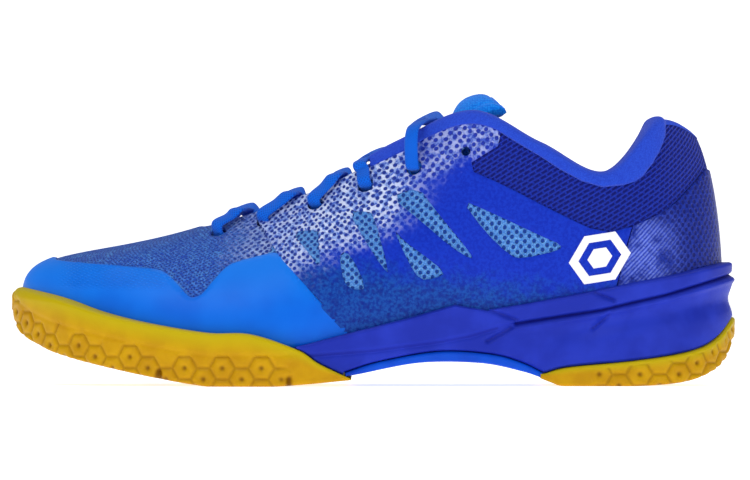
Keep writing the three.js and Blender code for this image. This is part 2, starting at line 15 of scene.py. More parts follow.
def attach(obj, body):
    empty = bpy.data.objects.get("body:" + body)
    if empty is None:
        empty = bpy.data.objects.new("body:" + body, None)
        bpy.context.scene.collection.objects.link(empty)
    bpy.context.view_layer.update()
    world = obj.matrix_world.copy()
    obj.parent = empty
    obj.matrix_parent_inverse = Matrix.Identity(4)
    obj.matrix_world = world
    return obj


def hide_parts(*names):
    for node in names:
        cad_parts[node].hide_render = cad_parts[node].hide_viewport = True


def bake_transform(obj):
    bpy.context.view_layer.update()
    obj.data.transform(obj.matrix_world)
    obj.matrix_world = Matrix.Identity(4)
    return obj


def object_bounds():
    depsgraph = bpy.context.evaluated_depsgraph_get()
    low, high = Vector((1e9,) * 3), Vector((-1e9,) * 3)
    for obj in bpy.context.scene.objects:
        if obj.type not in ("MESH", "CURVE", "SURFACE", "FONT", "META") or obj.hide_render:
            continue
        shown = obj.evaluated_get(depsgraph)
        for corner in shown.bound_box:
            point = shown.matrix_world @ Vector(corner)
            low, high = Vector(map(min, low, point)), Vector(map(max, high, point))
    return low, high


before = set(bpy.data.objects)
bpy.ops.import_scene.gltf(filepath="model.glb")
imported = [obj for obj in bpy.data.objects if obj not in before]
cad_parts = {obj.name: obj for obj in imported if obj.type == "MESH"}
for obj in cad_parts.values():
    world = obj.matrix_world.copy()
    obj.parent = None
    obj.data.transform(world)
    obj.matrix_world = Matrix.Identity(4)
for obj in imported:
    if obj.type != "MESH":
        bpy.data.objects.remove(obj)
CAD_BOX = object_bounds()
MM = 0.001

# ---- driving dimensions, as in part.mjs ----
SOLE_EDGE = 5.5  # how far the rubber stands out past the upper's lower edge
MIDSOLE_EDGE = 5.2
PLATE_EDGE = 4.2
BALL_X = -45.0  # the lowest point of the footbed
BED_BALL, BED_TOE, BED_HEEL = 14.0, 28.0, 24.0
TOE_X, HEEL_X = -140.0, 139.5
BOARD = 2.0
GAP = 0.3
INSOLE_BALL, INSOLE_HEEL = 4.0, 6.0
INSOLE_INSET = 6.8
LACE_WIDTH, LACE_THICK = 5.6, 2.0
EYELET_HEIGHT = 0.865  # share of the way from the sole to the throat's edge
EYELETS = [2.2, 3.05, 3.85, 4.55, 5.2, 5.9]  # stations of the lateral row
EYELET, TOP_EYELET = 3.3, 1.9  # radii
LOOP_LEAN = [0.25, 0.38, 0.3, -0.05, 0.12]
FOAM_DEPTH = 5.0
LATERAL, MEDIAL = -1, 1
SIDES = ((LATERAL, "lateral"), (MEDIAL, "medial"))

# Depths under the outermost surface, in mm: outside and inside of each layer.
GUARD = (-0.1, 0.8)
FILM = (0.05, 0.8)
MESH = (0.9, 2.4)
LINING = (4.2, 5.2)

# Twenty stations round the foot: the lower edge's x and y; how far the wall leans out
# and rises from there; how far it runs out and down from the top edge; the top edge.
STATIONS = np.array([
    [-139.5, 12, 8, 31, 49, 15.5, -68, 1, 65],
    [-128, -10, 5.5, 28.5, 38, 13.5, -66, -6.5, 65],
    [-107, -28, 4, 26, 21, 12, -60, -12, 66.5],
    [-74, -41, 4, 26, 14, 14, -42, -14, 72],
    [-38, -47, 2.5, 27, 15, 15, -18, -15.5, 80.8],
    [0, -41.5, 3, 28, 13, 26, 10, -20, 95.5],
    [38, -33, 5, 28, 6, 34, 39.5, -29.5, 107],
    [75, -31, 4, 25, 2, 22, 67, -31, 94.2],
    [105, -31.5, 5, 25, 2, 20, 93, -31, 82.8],
    [127, -22, 4.5, 26, 3.5, 26, 115, -23, 104.6],
    [139.5, 0, 2, 26, 7.2, 13.5, 130.3, 0, 99.5],
    [127, 22, 4.5, 26, 3.5, 26, 115, 23, 104.6],
    [105, 31, 4.5, 25, 2, 20, 93, 30, 82.8],
    [75, 28.5, 5, 25, 2, 22, 67, 31, 94.2],
    [38, 26, 7, 28, 6, 34, 39.5, 29.5, 107],
    [0, 30.5, 6, 30, 12, 26, 10, 20.5, 95.5],
    [-32, 41.5, 3, 30, 14, 16, -18, 16, 80.8],
    [-64, 47, 3, 28, 15, 13, -42, 14.5, 72],
    [-97, 43, 4, 27, 20, 12, -60, 12.5, 66.5],
    [-124, 31, 5, 27.5, 34, 13.5, -66, 7.5, 65],
])
COUNT = len(STATIONS)


def smoothstep(x, low, high):
    t = np.clip((np.asarray(x, float) - low) / (high - low), 0, 1)
    return t * t * (3 - 2 * t)


def bell(distance, width):
    """1 in the middle of a groove or a ridge of that half width, fading to 0 beside it."""
    return np.exp(-((distance / width) ** 2))


def bed_height(x):
    """Height of the footbed, under the board."""
    x = np.asarray(x, float)
    toe = BED_BALL + (BED_TOE - BED_BALL) * ((BALL_X - x) / (BALL_X - TOE_X)) ** 2
    heel = BED_BALL + (BED_HEEL - BED_BALL) * (x - BALL_X) / (HEEL_X - BALL_X)
    return np.where(x < BALL_X, toe, heel)


def insole_top(x):
    thick = INSOLE_BALL + (INSOLE_HEEL - INSOLE_BALL) * smoothstep(x, BALL_X, 80)
    return bed_height(x) + BOARD + 2 * GAP + thick


# ---- smooth curves ----
def catmull(p0, p1, p2, p3, t):
    """A point between p1 and p2 on the smooth curve through the four."""
    m1 = (p2 - p0) / 2
    m2 = (p3 - p1) / 2
    return p1 + t * (m1 + t * (3 * (p2 - p1) - 2 * m1 - m2 + t * (2 * (p1 - p2) + m1 + m2)))


def ring_point(points, u):
    """Points at shares u of the way round the closed smooth curve through points."""
    place = np.mod(np.asarray(u, float), 1.0) * len(points)
    k = np.floor(place).astype(int)
    near = [points[(k + n) % len(points)] for n in (-1, 0, 1, 2)]
    return catmull(*near, (place - k)[..., None])


def path_point(points, t):
    """Points at shares t of the way along the open smooth curve through points."""
    points = np.asarray(points, float)
    padded = np.vstack([2 * points[0] - points[1], points, 2 * points[-1] - points[-2]])
    place = np.clip(np.asarray(t, float), 0, 1) * (len(points) - 1)
    k = np.minimum(np.floor(place).astype(int), len(points) - 2)
    near = [padded[k + n] for n in range(4)]
    return catmull(*near, (place - k)[..., None])


def run_length(points):
    """Length along a polyline up to each of its points."""
    return np.concatenate([[0], np.cumsum(np.linalg.norm(np.diff(points, axis=0), axis=1))])


def unit(vectors):
    return vectors / np.maximum(np.linalg.norm(vectors, axis=-1, keepdims=True), 1e-12)


# ---- the upper's outermost surface ----
FOOT = np.column_stack([STATIONS[:, :2], bed_height(STATIONS[:, 0])])
EDGE = STATIONS[:, 6:9]


def outward(u):
    """The level direction straight out of the shoe."""
    step = 1e-4
    along = ring_point(FOOT, np.asarray(u) + step) - ring_point(FOOT, np.asarray(u) - step)
    return unit(np.stack([along[..., 1], -along[..., 0], np.zeros_like(along[..., 0])], -1))


def leaning(points, out, up):
    """Points moved out of the shoe and up."""
    moved = points + outward(np.arange(COUNT) / COUNT) * out[:, None]
    moved[:, 2] += up
    return moved


LOW = leaning(FOOT, STATIONS[:, 2], STATIONS[:, 3])
HIGH = leaning(EDGE, STATIONS[:, 4], -STATIONS[:, 5])


def upper_point(u, v):
    """u runs round the shoe from the toe by the lateral side, v from the sole to the top edge."""
    u, v = np.broadcast_arrays(np.asarray(u, float), np.asarray(v, float))
    t = v[..., None]
    rings = [ring_point(ring, u) for ring in (FOOT, LOW, HIGH, EDGE)]
    weights = [(1 - t) ** 3, 3 * t * (1 - t) ** 2, 3 * t ** 2 * (1 - t), t ** 3]
    return sum(weight * ring for weight, ring in zip(weights, rings))


STEP = 1e-3


def directions(surface, u, v):
    """The surface's way round, way up and outward normal."""
    low, high = np.maximum(v - STEP, 0), np.minimum(v + STEP, 1)
    across = unit(surface(u + STEP, v) - surface(u - STEP, v))
    up = unit(surface(u, high) - surface(u, low))
    return across, up, unit(np.cross(across, up))


def under(u, v, depth, surface=upper_point):
    """Points at a depth under a surface, or above it where the depth is negative."""
    u, v, depth = np.broadcast_arrays(*[np.asarray(a, float) for a in (u, v, depth)])
    normal = directions(surface, u, v)[2]
    return surface(u, v) - normal * depth[..., None]


def at_side(points, side):
    """(u, v) under side-view points (x, z) of the lateral or the medial side."""
    points = np.asarray(points, float)
    us = np.linspace(0.02, 0.5, 180) if side < 0 else np.linspace(0.5, 0.98, 180)
    grid = np.stack(np.meshgrid(us, np.linspace(0, 1, 70), indexing="ij"), -1).reshape(-1, 2)
    seen = upper_point(grid[:, 0], grid[:, 1])[:, [0, 2]]
    nearest = [np.argmin(((seen - p) ** 2).sum(1)) for p in points]
    found = grid[nearest]
    h = 1e-4
    for _ in range(6):
        u, v = found.T
        here = upper_point(u, v)[:, [0, 2]]
        by_u = (upper_point(u + h, v)[:, [0, 2]] - here) / h
        by_v = (upper_point(u, v + h)[:, [0, 2]] - here) / h
        miss = points - here
        det = by_u[:, 0] * by_v[:, 1] - by_u[:, 1] * by_v[:, 0]
        det = np.where(np.abs(det) < 500, 500 * np.sign(det + 1e-9), det)
        du = (miss[:, 0] * by_v[:, 1] - miss[:, 1] * by_v[:, 0]) / det
        dv = (by_u[:, 0] * miss[:, 1] - by_u[:, 1] * miss[:, 0]) / det
        found = np.column_stack([u + np.clip(du, -0.01, 0.01), v + np.clip(dv, -0.05, 0.05)])
        found[:, 1] = np.clip(found[:, 1], 0, 1)
    return found


def station(k, side):
    """The u of a station counted from the toe along that side."""
    return (k if side < 0 else COUNT - k) / COUNT


# Lengths along the lower edge, for a cloth's own coordinates.
RING_U = np.linspace(0, 1, 2001)
RING_LENGTH = run_length(ring_point(FOOT, RING_U))


def cloth_uv(u, v):
    """Coordinates in metres that lie on the upper like a cloth: round the shoe, and up."""
    turns = np.floor(u)
    along = np.interp(u - turns, RING_U, RING_LENGTH) + turns * RING_LENGTH[-1]
    tangent = np.cross(np.array([0, 0, 1.0]), outward(u))
    here = upper_point(u, v)
    lean = ((here - ring_point(FOOT, u)) * tangent).sum(-1)
    climb = np.zeros_like(u)
    steps = 12
    for k in range(steps):
        a, b = v * k / steps, v * (k + 1) / steps
        climb = climb + np.linalg.norm(upper_point(u, b) - upper_point(u, a), axis=-1)
    return np.column_stack([along + lean, climb]) * MM


# ---- mesh making ----
def add_object(name, data):
    made = bpy.data.objects.new(name, data)
    bpy.context.scene.collection.objects.link(made)
    return made


def make_piece(name, vertices, faces, uv=None, sharp=35):
    """A closed mesh object from points in mm, faces out, smooth up to the sharp angle."""
    mesh = bpy.data.meshes.new(name)
    mesh.from_pydata((np.asarray(vertices) * MM).tolist(), [], [list(map(int, f)) for f in faces])
    if uv is not None:
        layer = mesh.uv_layers.new(name="cloth")
        corners = np.empty(len(mesh.loops), int)
        mesh.loops.foreach_get("vertex_index", corners)
        layer.data.foreach_set("uv", np.asarray(uv, np.float32)[corners].ravel())
    bm = bmesh.new()
    bm.from_mesh(mesh)
    bmesh.ops.recalc_face_normals(bm, faces=bm.faces)
    bm.to_mesh(mesh)
    bm.free()
    mesh.shade_smooth()
    mesh.set_sharp_from_angle(angle=math.radians(sharp))
    return add_object(name, mesh)


def finish_piece(piece, look, stands_for=(), body="shoe"):
    """Gives a piece its material and its body, and hides the CAD nodes that it stands for."""
    piece.data.materials.clear()
    piece.data.materials.append(look)
    if body:
        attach(piece, body)
    if stands_for:
        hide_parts(*stands_for)
    return piece


def tube_faces(rows, sides):
    """Faces of rows closed loops of points, one after another, and of the two end caps."""
    faces = []
    for k in range(rows - 1):
        for n in range(sides):
            a = k * sides + n
            b = k * sides + (n + 1) % sides
            faces.append([a, b, b + sides, a + sides])
    faces.append(list(range(sides))[::-1])
    faces.append([(rows - 1) * sides + n for n in range(sides)])
    return faces


def grid_shell(us, vs, outer, inner, surface=upper_point):
    """Vertices, faces and uv of a closed sheet between two depths, on a grid."""
    u, v = (a.ravel() for a in np.meshgrid(us, vs, indexing="ij"))
    layers = [under(u, v, d(u, v) if callable(d) else d, surface) for d in (outer, inner)]
    nu, nv = len(us), len(vs)
    index = np.arange(2 * nu * nv).reshape(2, nu, nv)
    faces = []
    for layer in index:
        corners = [layer[:-1, :-1], layer[1:, :-1], layer[1:, 1:], layer[:-1, 1:]]
        faces += np.stack(corners, -1).reshape(-1, 4).tolist()
    border = [index[:, :, 0], index[:, -1, :], index[:, ::-1, -1], index[:, 0, ::-1]]
    for line in border:
        corners = [line[0, :-1], line[0, 1:], line[1, 1:], line[1, :-1]]
        faces += np.stack(corners, -1).reshape(-1, 4).tolist()
    flat = cloth_uv(u, v) if surface is upper_point else np.column_stack([u, v]) * 0.1
    return np.vstack(layers), faces, np.vstack([flat, flat])


# ---- panels cut to an outline ----
FLAT = np.array([690.0, 85.0])  # rough size of the whole upper laid flat, in mm


def inside_one(points, loop):
    """Which points lie inside a closed outline."""
    x, y = points[:, 0][:, None], points[:, 1][:, None]
    x0, y0 = loop[:, 0], loop[:, 1]
    x1, y1 = np.roll(x0, -1), np.roll(y0, -1)
    crosses = (y0 > y) != (y1 > y)
    rise = np.where(y1 == y0, 1e-12, y1 - y0)
    return (crosses & (x < (x1 - x0) * (y - y0) / rise + x0)).sum(1) % 2 == 1


def inside(points, loops):
    """Which points lie inside the first outline and outside the others."""
    keep = inside_one(points, loops[0])
    for hole in loops[1:]:
        keep &= ~inside_one(points, hole)
    return keep


def clear_of(points, others, gap):
    """The points farther than gap from all the others."""
    if len(points) == 0:
        return points
    near = np.min(((points[:, None] - others[None]) ** 2).sum(-1), axis=1)
    return points[near > gap * gap]


def triangular_grid(low, high, step):
    """Points at even distances over a rectangle, every other row shifted by half a step."""
    rows = []
    for k, y in enumerate(np.arange(low[1] + step * math.sqrt(3) / 2, high[1], step * math.sqrt(3) / 2)):
        xs = np.arange(low[0] + step * (0.5 + 0.5 * (k % 2)), high[0], step)
        rows.append(np.column_stack([xs, np.full(len(xs), y)]))
    return np.vstack(rows)


def spaced(loop, step, closed=True):
    """A polyline with a point at least every step."""
    loop = np.asarray(loop, float)
    ends = np.roll(loop, -1, axis=0) if closed else loop[1:]
    made = []
    for a, b in zip(loop, ends):
        count = max(1, int(math.ceil(np.linalg.norm(b - a) / step)))
        made += [a + (b - a) * k / count for k in range(count)]
    if not closed:
        made.append(loop[-1])
    return np.array(made)


def softened(loop, rounds=2, closed=True):
    """An outline with its corners rounded off by cutting them."""
    loop = np.asarray(loop, float)
    for _ in range(rounds):
        following = np.roll(loop, -1, axis=0) if closed else loop[1:]
        before = loop if closed else loop[:-1]
        cut = np.stack([0.75 * before + 0.25 * following, 0.25 * before + 0.75 * following], 1)
        cut = cut.reshape(-1, 2)
        loop = cut if closed else np.vstack([loop[:1], cut, loop[-1:]])
    return loop


def panel_mesh(loops, outer, inner, step, bevel=0.25, bevel_width=0.55):
    """Vertices, faces and uv of a closed sheet cut to the first (u, v) loop less the others."""
    loops = [spaced(np.asarray(loop) * FLAT, step) for loop in loops]
    outline = np.vstack(loops)
    edges, start = [], 0
    for loop in loops:
        count = len(loop)
        edges += [(start + k, start + (k + 1) % count) for k in range(count)]
        start += count
    rims = []
    for loop in loops:
        along = unit(np.roll(loop, -1, axis=0) - np.roll(loop, 1, axis=0))
        normal = np.column_stack([-along[:, 1], along[:, 0]]) * bevel_width
        rims += [loop + normal, loop - normal]
    rims = np.vstack(rims)
    lattice = triangular_grid(outline.min(0), outline.max(0), step)
    rim = clear_of(rims[inside(rims, loops)], outline, bevel_width * 0.8)
    fill = clear_of(lattice[inside(lattice, loops)], np.vstack([outline, rim]), step * 0.5)
    points = np.vstack([outline, rim, fill])
    made = delaunay_2d_cdt([Vector(p) for p in points], edges, [], 0, 1e-5)
    flat = np.array([list(p) for p in made[0]])
    triangles = np.array([list(f) for f in made[2]])
    triangles = triangles[inside(flat[triangles].mean(1), loops)]
    used = np.unique(triangles)
    renumber = np.full(len(flat), -1)
    renumber[used] = np.arange(len(used))
    triangles, flat = renumber[triangles], flat[used]
    halves = dict.fromkeys(
        edge for a, b, c in triangles.tolist() for edge in ((a, b), (b, c), (c, a)))
    border = [edge for edge in halves if (edge[1], edge[0]) not in halves]
    on_border = np.zeros(len(flat), bool)
    on_border[[a for a, _ in border]] = True
    u, v = (flat / FLAT).T
    outside = under(u, v, outer + bevel * on_border)
    within_wall = under(u, v, inner)
    count = len(flat)
    faces = triangles.tolist()
    faces += [[c + count, b + count, a + count] for a, b, c in triangles.tolist()]
    faces += [[b, a, a + count, b + count] for a, b in border]
    uv = cloth_uv(u, v)
    return np.vstack([outside, within_wall]), faces, np.vstack([uv, uv])


def add_panel(name, loops, depths, look, slot, stands_for, **cut):
    """A sheet between two depths, cut to (u, v) outlines, as a finished piece of the shoe."""
    piece = make_piece(name, *panel_mesh(loops, *depths, **cut))
    finish_piece(piece, look, stands_for)


def side_path(points, side, step=2.0, rounds=0, closed=False):
    """(u, v) points of a side-view polyline, with its corners rounded off."""
    path = softened(points, rounds, closed) if rounds else np.asarray(points, float)
    return at_side(spaced(path, step, closed), side)


def wrapped(path):
    """A medial path counted backwards from the toe, so that it joins a lateral one there."""
    return path - np.array([1.0, 0.0])


def climb_to(u, x):
    """The v at which the surface at u, past its bulge, comes back to x."""
    v = np.linspace(0.1, 1, 800)
    xs = upper_point(np.full_like(v, u), v)[:, 0]
    return float(v[np.argmin(np.abs(xs - x) + (v < 0.25) * 50)])


def eyelet_loop(side, k, radius):
    """The outline of an eyelet on the upper."""
    u = station(k, side)
    centre = upper_point(u, EYELET_HEIGHT)
    across, up, _ = directions(upper_point, np.array(u), np.array(EYELET_HEIGHT))
    d = 1e-3
    per_u = np.linalg.norm(upper_point(u + d, EYELET_HEIGHT) - centre) / d
    per_v = np.linalg.norm(upper_point(u, EYELET_HEIGHT + d) - centre) / d
    skew = float(across @ up)
    loop = []
    for angle in np.linspace(0, 2 * math.pi, 16, endpoint=False):
        a, b = radius * math.cos(angle), radius * math.sin(angle)
        rise = b / math.sqrt(1 - skew * skew)
        loop.append([u + (a - rise * skew) / per_u, EYELET_HEIGHT + rise / per_v])
    return np.array(loop)


def eyelet_holes(side, rows):
    """The holes for the lace at those stations; the topmost eyelet is the narrowest."""
    return [eyelet_loop(side, k, TOP_EYELET if k == EYELETS[-1] else EYELET) for k in rows]


# ---- shader helpers ----
class Look:
    """A material whose Principled shader is fed by small procedural nodes."""

    def __init__(self, name, roughness=0.5, specular=0.1, **settings):
        self.material = bpy.data.materials.new(name)
        self.material.use_nodes = True
        self.tree = self.material.node_tree
        self.surface = self.tree.nodes["Principled BSDF"]
        self.surface.inputs["Roughness"].default_value = roughness
        self.surface.inputs["Specular IOR Level"].default_value = specular
        for socket, value in settings.items():
            self.surface.inputs[socket.replace("_", " ")].default_value = value
        self.coordinates = self.tree.nodes.new("ShaderNodeTexCoord")

    def feed(self, socket, value):
        if isinstance(value, bpy.types.NodeSocket):
            self.tree.links.new(value, socket)
        else:
            socket.default_value = value

    def node(self, kind, inputs, **properties):
        """A node with its properties, and its inputs by name or number."""
        node = self.tree.nodes.new(kind)
        for key, value in properties.items():
            setattr(node, key, value)
        for key, value in inputs.items():
            self.feed(node.inputs[key], value)
        return node

    @property
    def uv(self):
        return self.coordinates.outputs["UV"]

    @property
    def place(self):
        return self.coordinates.outputs["Object"]

    def mapped(self, vector, scale=(1, 1, 1), turn=0.0, turn_first=False):
        """A vector turned in its plane and scaled."""
        made = self.node("ShaderNodeMapping", {
            "Vector": vector,
            "Rotation": (0, 0, math.radians(turn)),
            "Scale": (1, 1, 1) if turn_first else scale,
        }).outputs[0]
        return self.mapped(made, scale) if turn_first else made

    def attribute(self, name):
        """A value stored on the mesh's points."""
        return self.node("ShaderNodeAttribute", {}, attribute_name=name).outputs["Fac"]

    def maths(self, operation, *values):
        return self.node("ShaderNodeMath", dict(enumerate(values)), operation=operation).outputs[0]

    def times(self, a, b):
        return self.maths("MULTIPLY", a, b)

    def plus(self, a, b):
        return self.maths("ADD", a, b)

    def minus(self, a, b):
        return self.maths("SUBTRACT", a, b)

    def scaled(self, value, factor, offset):
        return self.maths("MULTIPLY_ADD", value, factor, offset)

    def away_from(self, value, middle):
        return self.maths("ABSOLUTE", self.minus(value, middle))

    def axes(self, vector):
        return self.node("ShaderNodeSeparateXYZ", {0: vector}).outputs

    def ramp(self, value, low, high, to_low=0.0, to_high=1.0):
        """The value's smooth passage from low to high."""
        return self.node("ShaderNodeMapRange", {
            "Value": value, "From Min": low, "From Max": high, "To Min": to_low, "To Max": to_high,
        }, interpolation_type="SMOOTHSTEP").outputs[0]

    def noise(self, vector, size, detail=2.0, roughness=0.5):
        """Soft noise with features of that size in metres."""
        return self.node("ShaderNodeTexNoise", {
            "Vector": vector, "Scale": 1 / size, "Detail": detail, "Roughness": roughness,
        }).outputs[0]

    def cells(self, vector, random=1.0, flat=True):
        """Distance to the nearest of many scattered points, one to each unit of the vector."""
        return self.node("ShaderNodeTexVoronoi", {
            "Vector": vector, "Scale": 1.0, "Randomness": random,
        }, voronoi_dimensions="2D" if flat else "3D").outputs["Distance"]

    def waves(self, vector, size, turn, distortion=0.0):
        """Even ribs across the turned direction, size apart."""
        return self.node("ShaderNodeTexWave", {
            "Vector": self.mapped(vector, turn=turn),
            "Scale": math.pi / 10 / size,
            "Distortion": distortion,
        }, wave_type="BANDS", bands_direction="X").outputs["Fac"]

    def mix(self, share, a, b):
        """Colour a where the share is 0 and colour b where it is 1."""
        inputs = {"Factor": share, 6: a, 7: b}
        return self.node("ShaderNodeMix", inputs, data_type="RGBA").outputs[2]

    def bump(self, height, depth, below=None):
        """A bump whose height of 1 stands for depth in metres, over another bump if given."""
        inputs = {"Height": height, "Distance": depth, "Strength": 1.0}
        if below is not None:
            inputs["Normal"] = below
        return self.node("ShaderNodeBump", inputs).outputs[0]

    def paint(self, color=None, roughness=None, normal=None):
        for name, value in (("Base Color", color), ("Roughness", roughness), ("Normal", normal)):
            if value is not None:
                self.feed(self.surface.inputs[name], value)
        return self.material


def rgb(red, green, blue):
    """A colour from its everyday 0 to 255 values."""
    def linear(c):
        c = c / 255
        return c / 12.92 if c <= 0.04045 else ((c + 0.055) / 1.055) ** 2.4
    return (linear(red), linear(green), linear(blue), 1.0)


# ---- materials ----
def foam_look(name, color, dark):
    """Moulded midsole foam: fine pores, faint mottling, and painted shade that darkens its grooves."""
    look = Look(name, 0.42, 0.12)
    mottled = look.noise(look.place, 14 * MM, 3)
    pores = look.noise(look.place, 0.35 * MM, 2)
    groove_shade = look.attribute("groove_shade")
    color = look.mix(look.ramp(mottled, 0.35, 0.7), dark, color)
    # Painted shade: the grooves, creases and notches are darkened, where shade falls.
    color = look.mix(look.ramp(groove_shade, 0.1, 1.0), color, rgb(18, 22, 120))
    rough = look.ramp(pores, 0.3, 0.7, 0.36, 0.52)
    return look.paint(color, rough, look.bump(pores, 0.03 * MM))


def rubber_look():
    """Gum rubber: honey yellow, greener towards its top edge, and painted shade that makes it browner in the
    grooves.
    """
    look = Look("gum_rubber", 0.4, 0.12, Subsurface_Weight=0.08, Subsurface_Scale=0.003)
    look.surface.inputs["Subsurface Radius"].default_value = (1.0, 0.7, 0.2)
    cloud = look.noise(look.place, 9 * MM, 3)
    grain = look.noise(look.place, 0.5 * MM, 2)
    groove_shade = look.attribute("groove_shade")
    rise = look.attribute("rise")
    color = look.mix(look.ramp(cloud, 0.35, 0.7), rgb(184, 136, 0), rgb(196, 150, 0))
    color = look.mix(look.ramp(rise, 0.55, 1.0), color, rgb(186, 166, 0))
    # Painted shade: the tread's grooves and dimples are darkened to brown.
    color = look.mix(look.ramp(groove_shade, 0.05, 1.0), color, rgb(122, 80, 0))
    rough = look.ramp(grain, 0.3, 0.7, 0.34, 0.5)
    return look.paint(color, rough, look.bump(grain, 0.05 * MM))


def film_look(name, light, dark, dashes=False):
    """Moulded satin film, with an optional field of fine slanting dashes."""
    look = Look(name, 0.38, 0.14)
    cloud = look.noise(look.place, 20 * MM, 2)
    grain = look.noise(look.place, 0.6 * MM, 2)
    color = look.mix(look.ramp(cloud, 0.3, 0.7), dark, light)
    rough = look.ramp(grain, 0.3, 0.7, 0.32, 0.44)
    normal = look.bump(grain, 0.02 * MM)
    if dashes:
        x, _, z = look.axes(look.place)
        rows = look.cells(look.mapped(look.uv, (1 / (2.6 * MM), 1 / (1.3 * MM), 1), 24), 0.15)
        dash = look.ramp(rows, 0.18, 0.34)
        field = look.times(look.ramp(x, -0.128, -0.118), look.ramp(x, -0.078, -0.086))
        field = look.times(field, look.ramp(z, 0.037, 0.041))
        height = look.times(dash, field)
        normal = look.bump(height, 0.16 * MM, below=normal)
        # Painted highlight: the upper rim is painted lighter than the side, where the light falls from
        # above.
        color = look.mix(look.ramp(z, 0.026, 0.050, 0, 0.55), color, rgb(16, 132, 240))
        color = look.mix(look.times(height, 0.3), color, rgb(0, 78, 190))
    return look.paint(color, rough, normal)


def knit(look, pitch, rise, turn, size, random=0.12):
    """Open holes on a slanting lattice: 1 in a hole and 0 on the yarn."""
    vector = look.mapped(look.uv, (1 / pitch, 1 / rise, 1), 0)
    turned = look.mapped(vector, (1.414, 1.414, 1), turn, turn_first=True)
    return look.ramp(look.cells(turned, random), size, size * 0.62)


def heather(look, size=0.9 * MM):
    """The mottling of a two-tone yarn."""
    return look.noise(look.place, size, 3, 0.65)


LACE_SLOPE, LACE_HEIGHT = 0.52, 0.0835  # the line of the laces in a side view, in metres


def lace_distance(look, x, z):
    """How far above (+) or below (-) the line of the laces a place is, in metres."""
    return look.minus(z, look.scaled(x, LACE_SLOPE, LACE_HEIGHT))


def pale_net(look, x):
    """The printed net by the laces: broken lilac yarn with slanting holes, painted highlight glints on the
    yarn, and its relief.
    """
    holes = knit(look, 3.4 * MM, 3.8 * MM, 45, 0.40, 0.35)
    strands = look.ramp(look.noise(look.place, 1.6 * MM, 2, 0.6), 0.42, 0.58)
    # Painted highlight: bright glints on the yarn, stronger towards the upper laces.
    glint = look.ramp(look.noise(look.place, 2.6 * MM, 2), 0.44, 0.60)
    glint = look.times(glint, look.ramp(x, -0.056, -0.012, 0.25, 1.0))
    yarn = look.mix(strands, rgb(72, 104, 200), rgb(146, 172, 234))
    yarn = look.mix(glint, yarn, rgb(206, 218, 250))
    color = look.mix(holes, yarn, rgb(34, 56, 150))
    return color, look.minus(strands, holes)


def vamp_look():
    """The toe box's close mesh: two-tone yarn with small openings, paler by the laces."""
    look = Look("upper_mesh", 0.75, 0.08, Sheen_Weight=0.08)
    x, _, z = look.axes(look.place)
    holes = knit(look, 2.4 * MM, 2.0 * MM, 45, 0.32, 0.3)
    tone = look.ramp(heather(look), 0.38, 0.62)
    color = look.mix(tone, rgb(30, 70, 176), rgb(66, 122, 212))
    sky = look.ramp(look.noise(look.place, 5 * MM, 2), 0.52, 0.64)
    color = look.mix(look.times(sky, look.times(tone, 0.6)), color, rgb(84, 150, 222))
    color = look.mix(look.times(holes, 0.8), color, rgb(24, 36, 128))
    net, relief = pale_net(look, x)
    near = look.plus(x, look.scaled(heather(look, 8 * MM), 0.02, -0.01))
    share = look.times(look.ramp(near, -0.066, -0.040), look.ramp(z, 0.040, 0.054))
    color = look.mix(share, color, net)
    yarn = look.minus(tone, holes)
    height = look.plus(yarn, look.times(relief, share))
    return look.paint(color, None, look.bump(height, 0.25 * MM))


def window_look():
    """The light mesh seen through the side film's windows."""
    look = Look("window_mesh", 0.6, 0.1, Sheen_Weight=0.08)
    holes = knit(look, 3.4 * MM, 4.0 * MM, 45, 0.37, 0.2)
    tone = look.ramp(heather(look, 0.8 * MM), 0.35, 0.65)
    color = look.mix(tone, rgb(60, 120, 206), rgb(102, 160, 226))
    color = look.mix(holes, color, rgb(20, 62, 150))
    yarn = look.minus(look.times(tone, 0.4), holes)
    return look.paint(color, None, look.bump(yarn, 0.5 * MM))


def side_film_look():
    """Printed film over the mesh: pale net by the laces, mottled blue below, plain on the strap."""
    look = Look("side_film", 0.4, 0.1)
    x, _, z = look.axes(look.place)
    above = lace_distance(look, x, z)
    patch = heather(look, 9 * MM)
    near = look.plus(above, look.scaled(patch, 0.016, -0.008))
    pale = look.times(look.ramp(near, -0.031, -0.013), look.ramp(x, 0.028, 0.004))
    # Low on the side the mesh shows through the film in dark and teal specks.
    tone = look.ramp(heather(look, 1.3 * MM), 0.38, 0.62)
    specks = look.ramp(look.cells(look.mapped(look.place, (450,) * 3), flat=False), 0.5, 0.2)
    mottled = look.mix(tone, rgb(10, 48, 142), rgb(22, 78, 166))
    mottled = look.mix(look.times(specks, 0.55), mottled, rgb(16, 36, 128))
    smooth = look.mix(tone, rgb(10, 42, 172), rgb(16, 52, 186))
    slope = look.scaled(x, -0.12, 0.044)
    height_over = look.minus(z, slope)
    spread = look.plus(height_over, look.scaled(heather(look, 4 * MM), 0.022, -0.011))
    plain = look.maths("MAXIMUM", look.ramp(spread, -0.006, 0.010), look.ramp(x, 0.070, 0.105, 0, 0.7))
    color = look.mix(plain, mottled, smooth)
    net, relief = pale_net(look, x)
    corner = look.times(look.ramp(x, 0.012, 0.026), look.ramp(near, -0.016, -0.008))
    corner_net = look.mix(0.45, net, rgb(40, 54, 186))
    color = look.mix(pale, color, net)
    color = look.mix(corner, color, corner_net)
    relief = look.times(relief, look.maths("MAXIMUM", pale, corner))
    mesh_relief = look.times(specks, look.scaled(plain, -0.3, 0.3))
    height = look.minus(relief, mesh_relief)
    return look.paint(color, None, look.bump(height, 0.3 * MM))


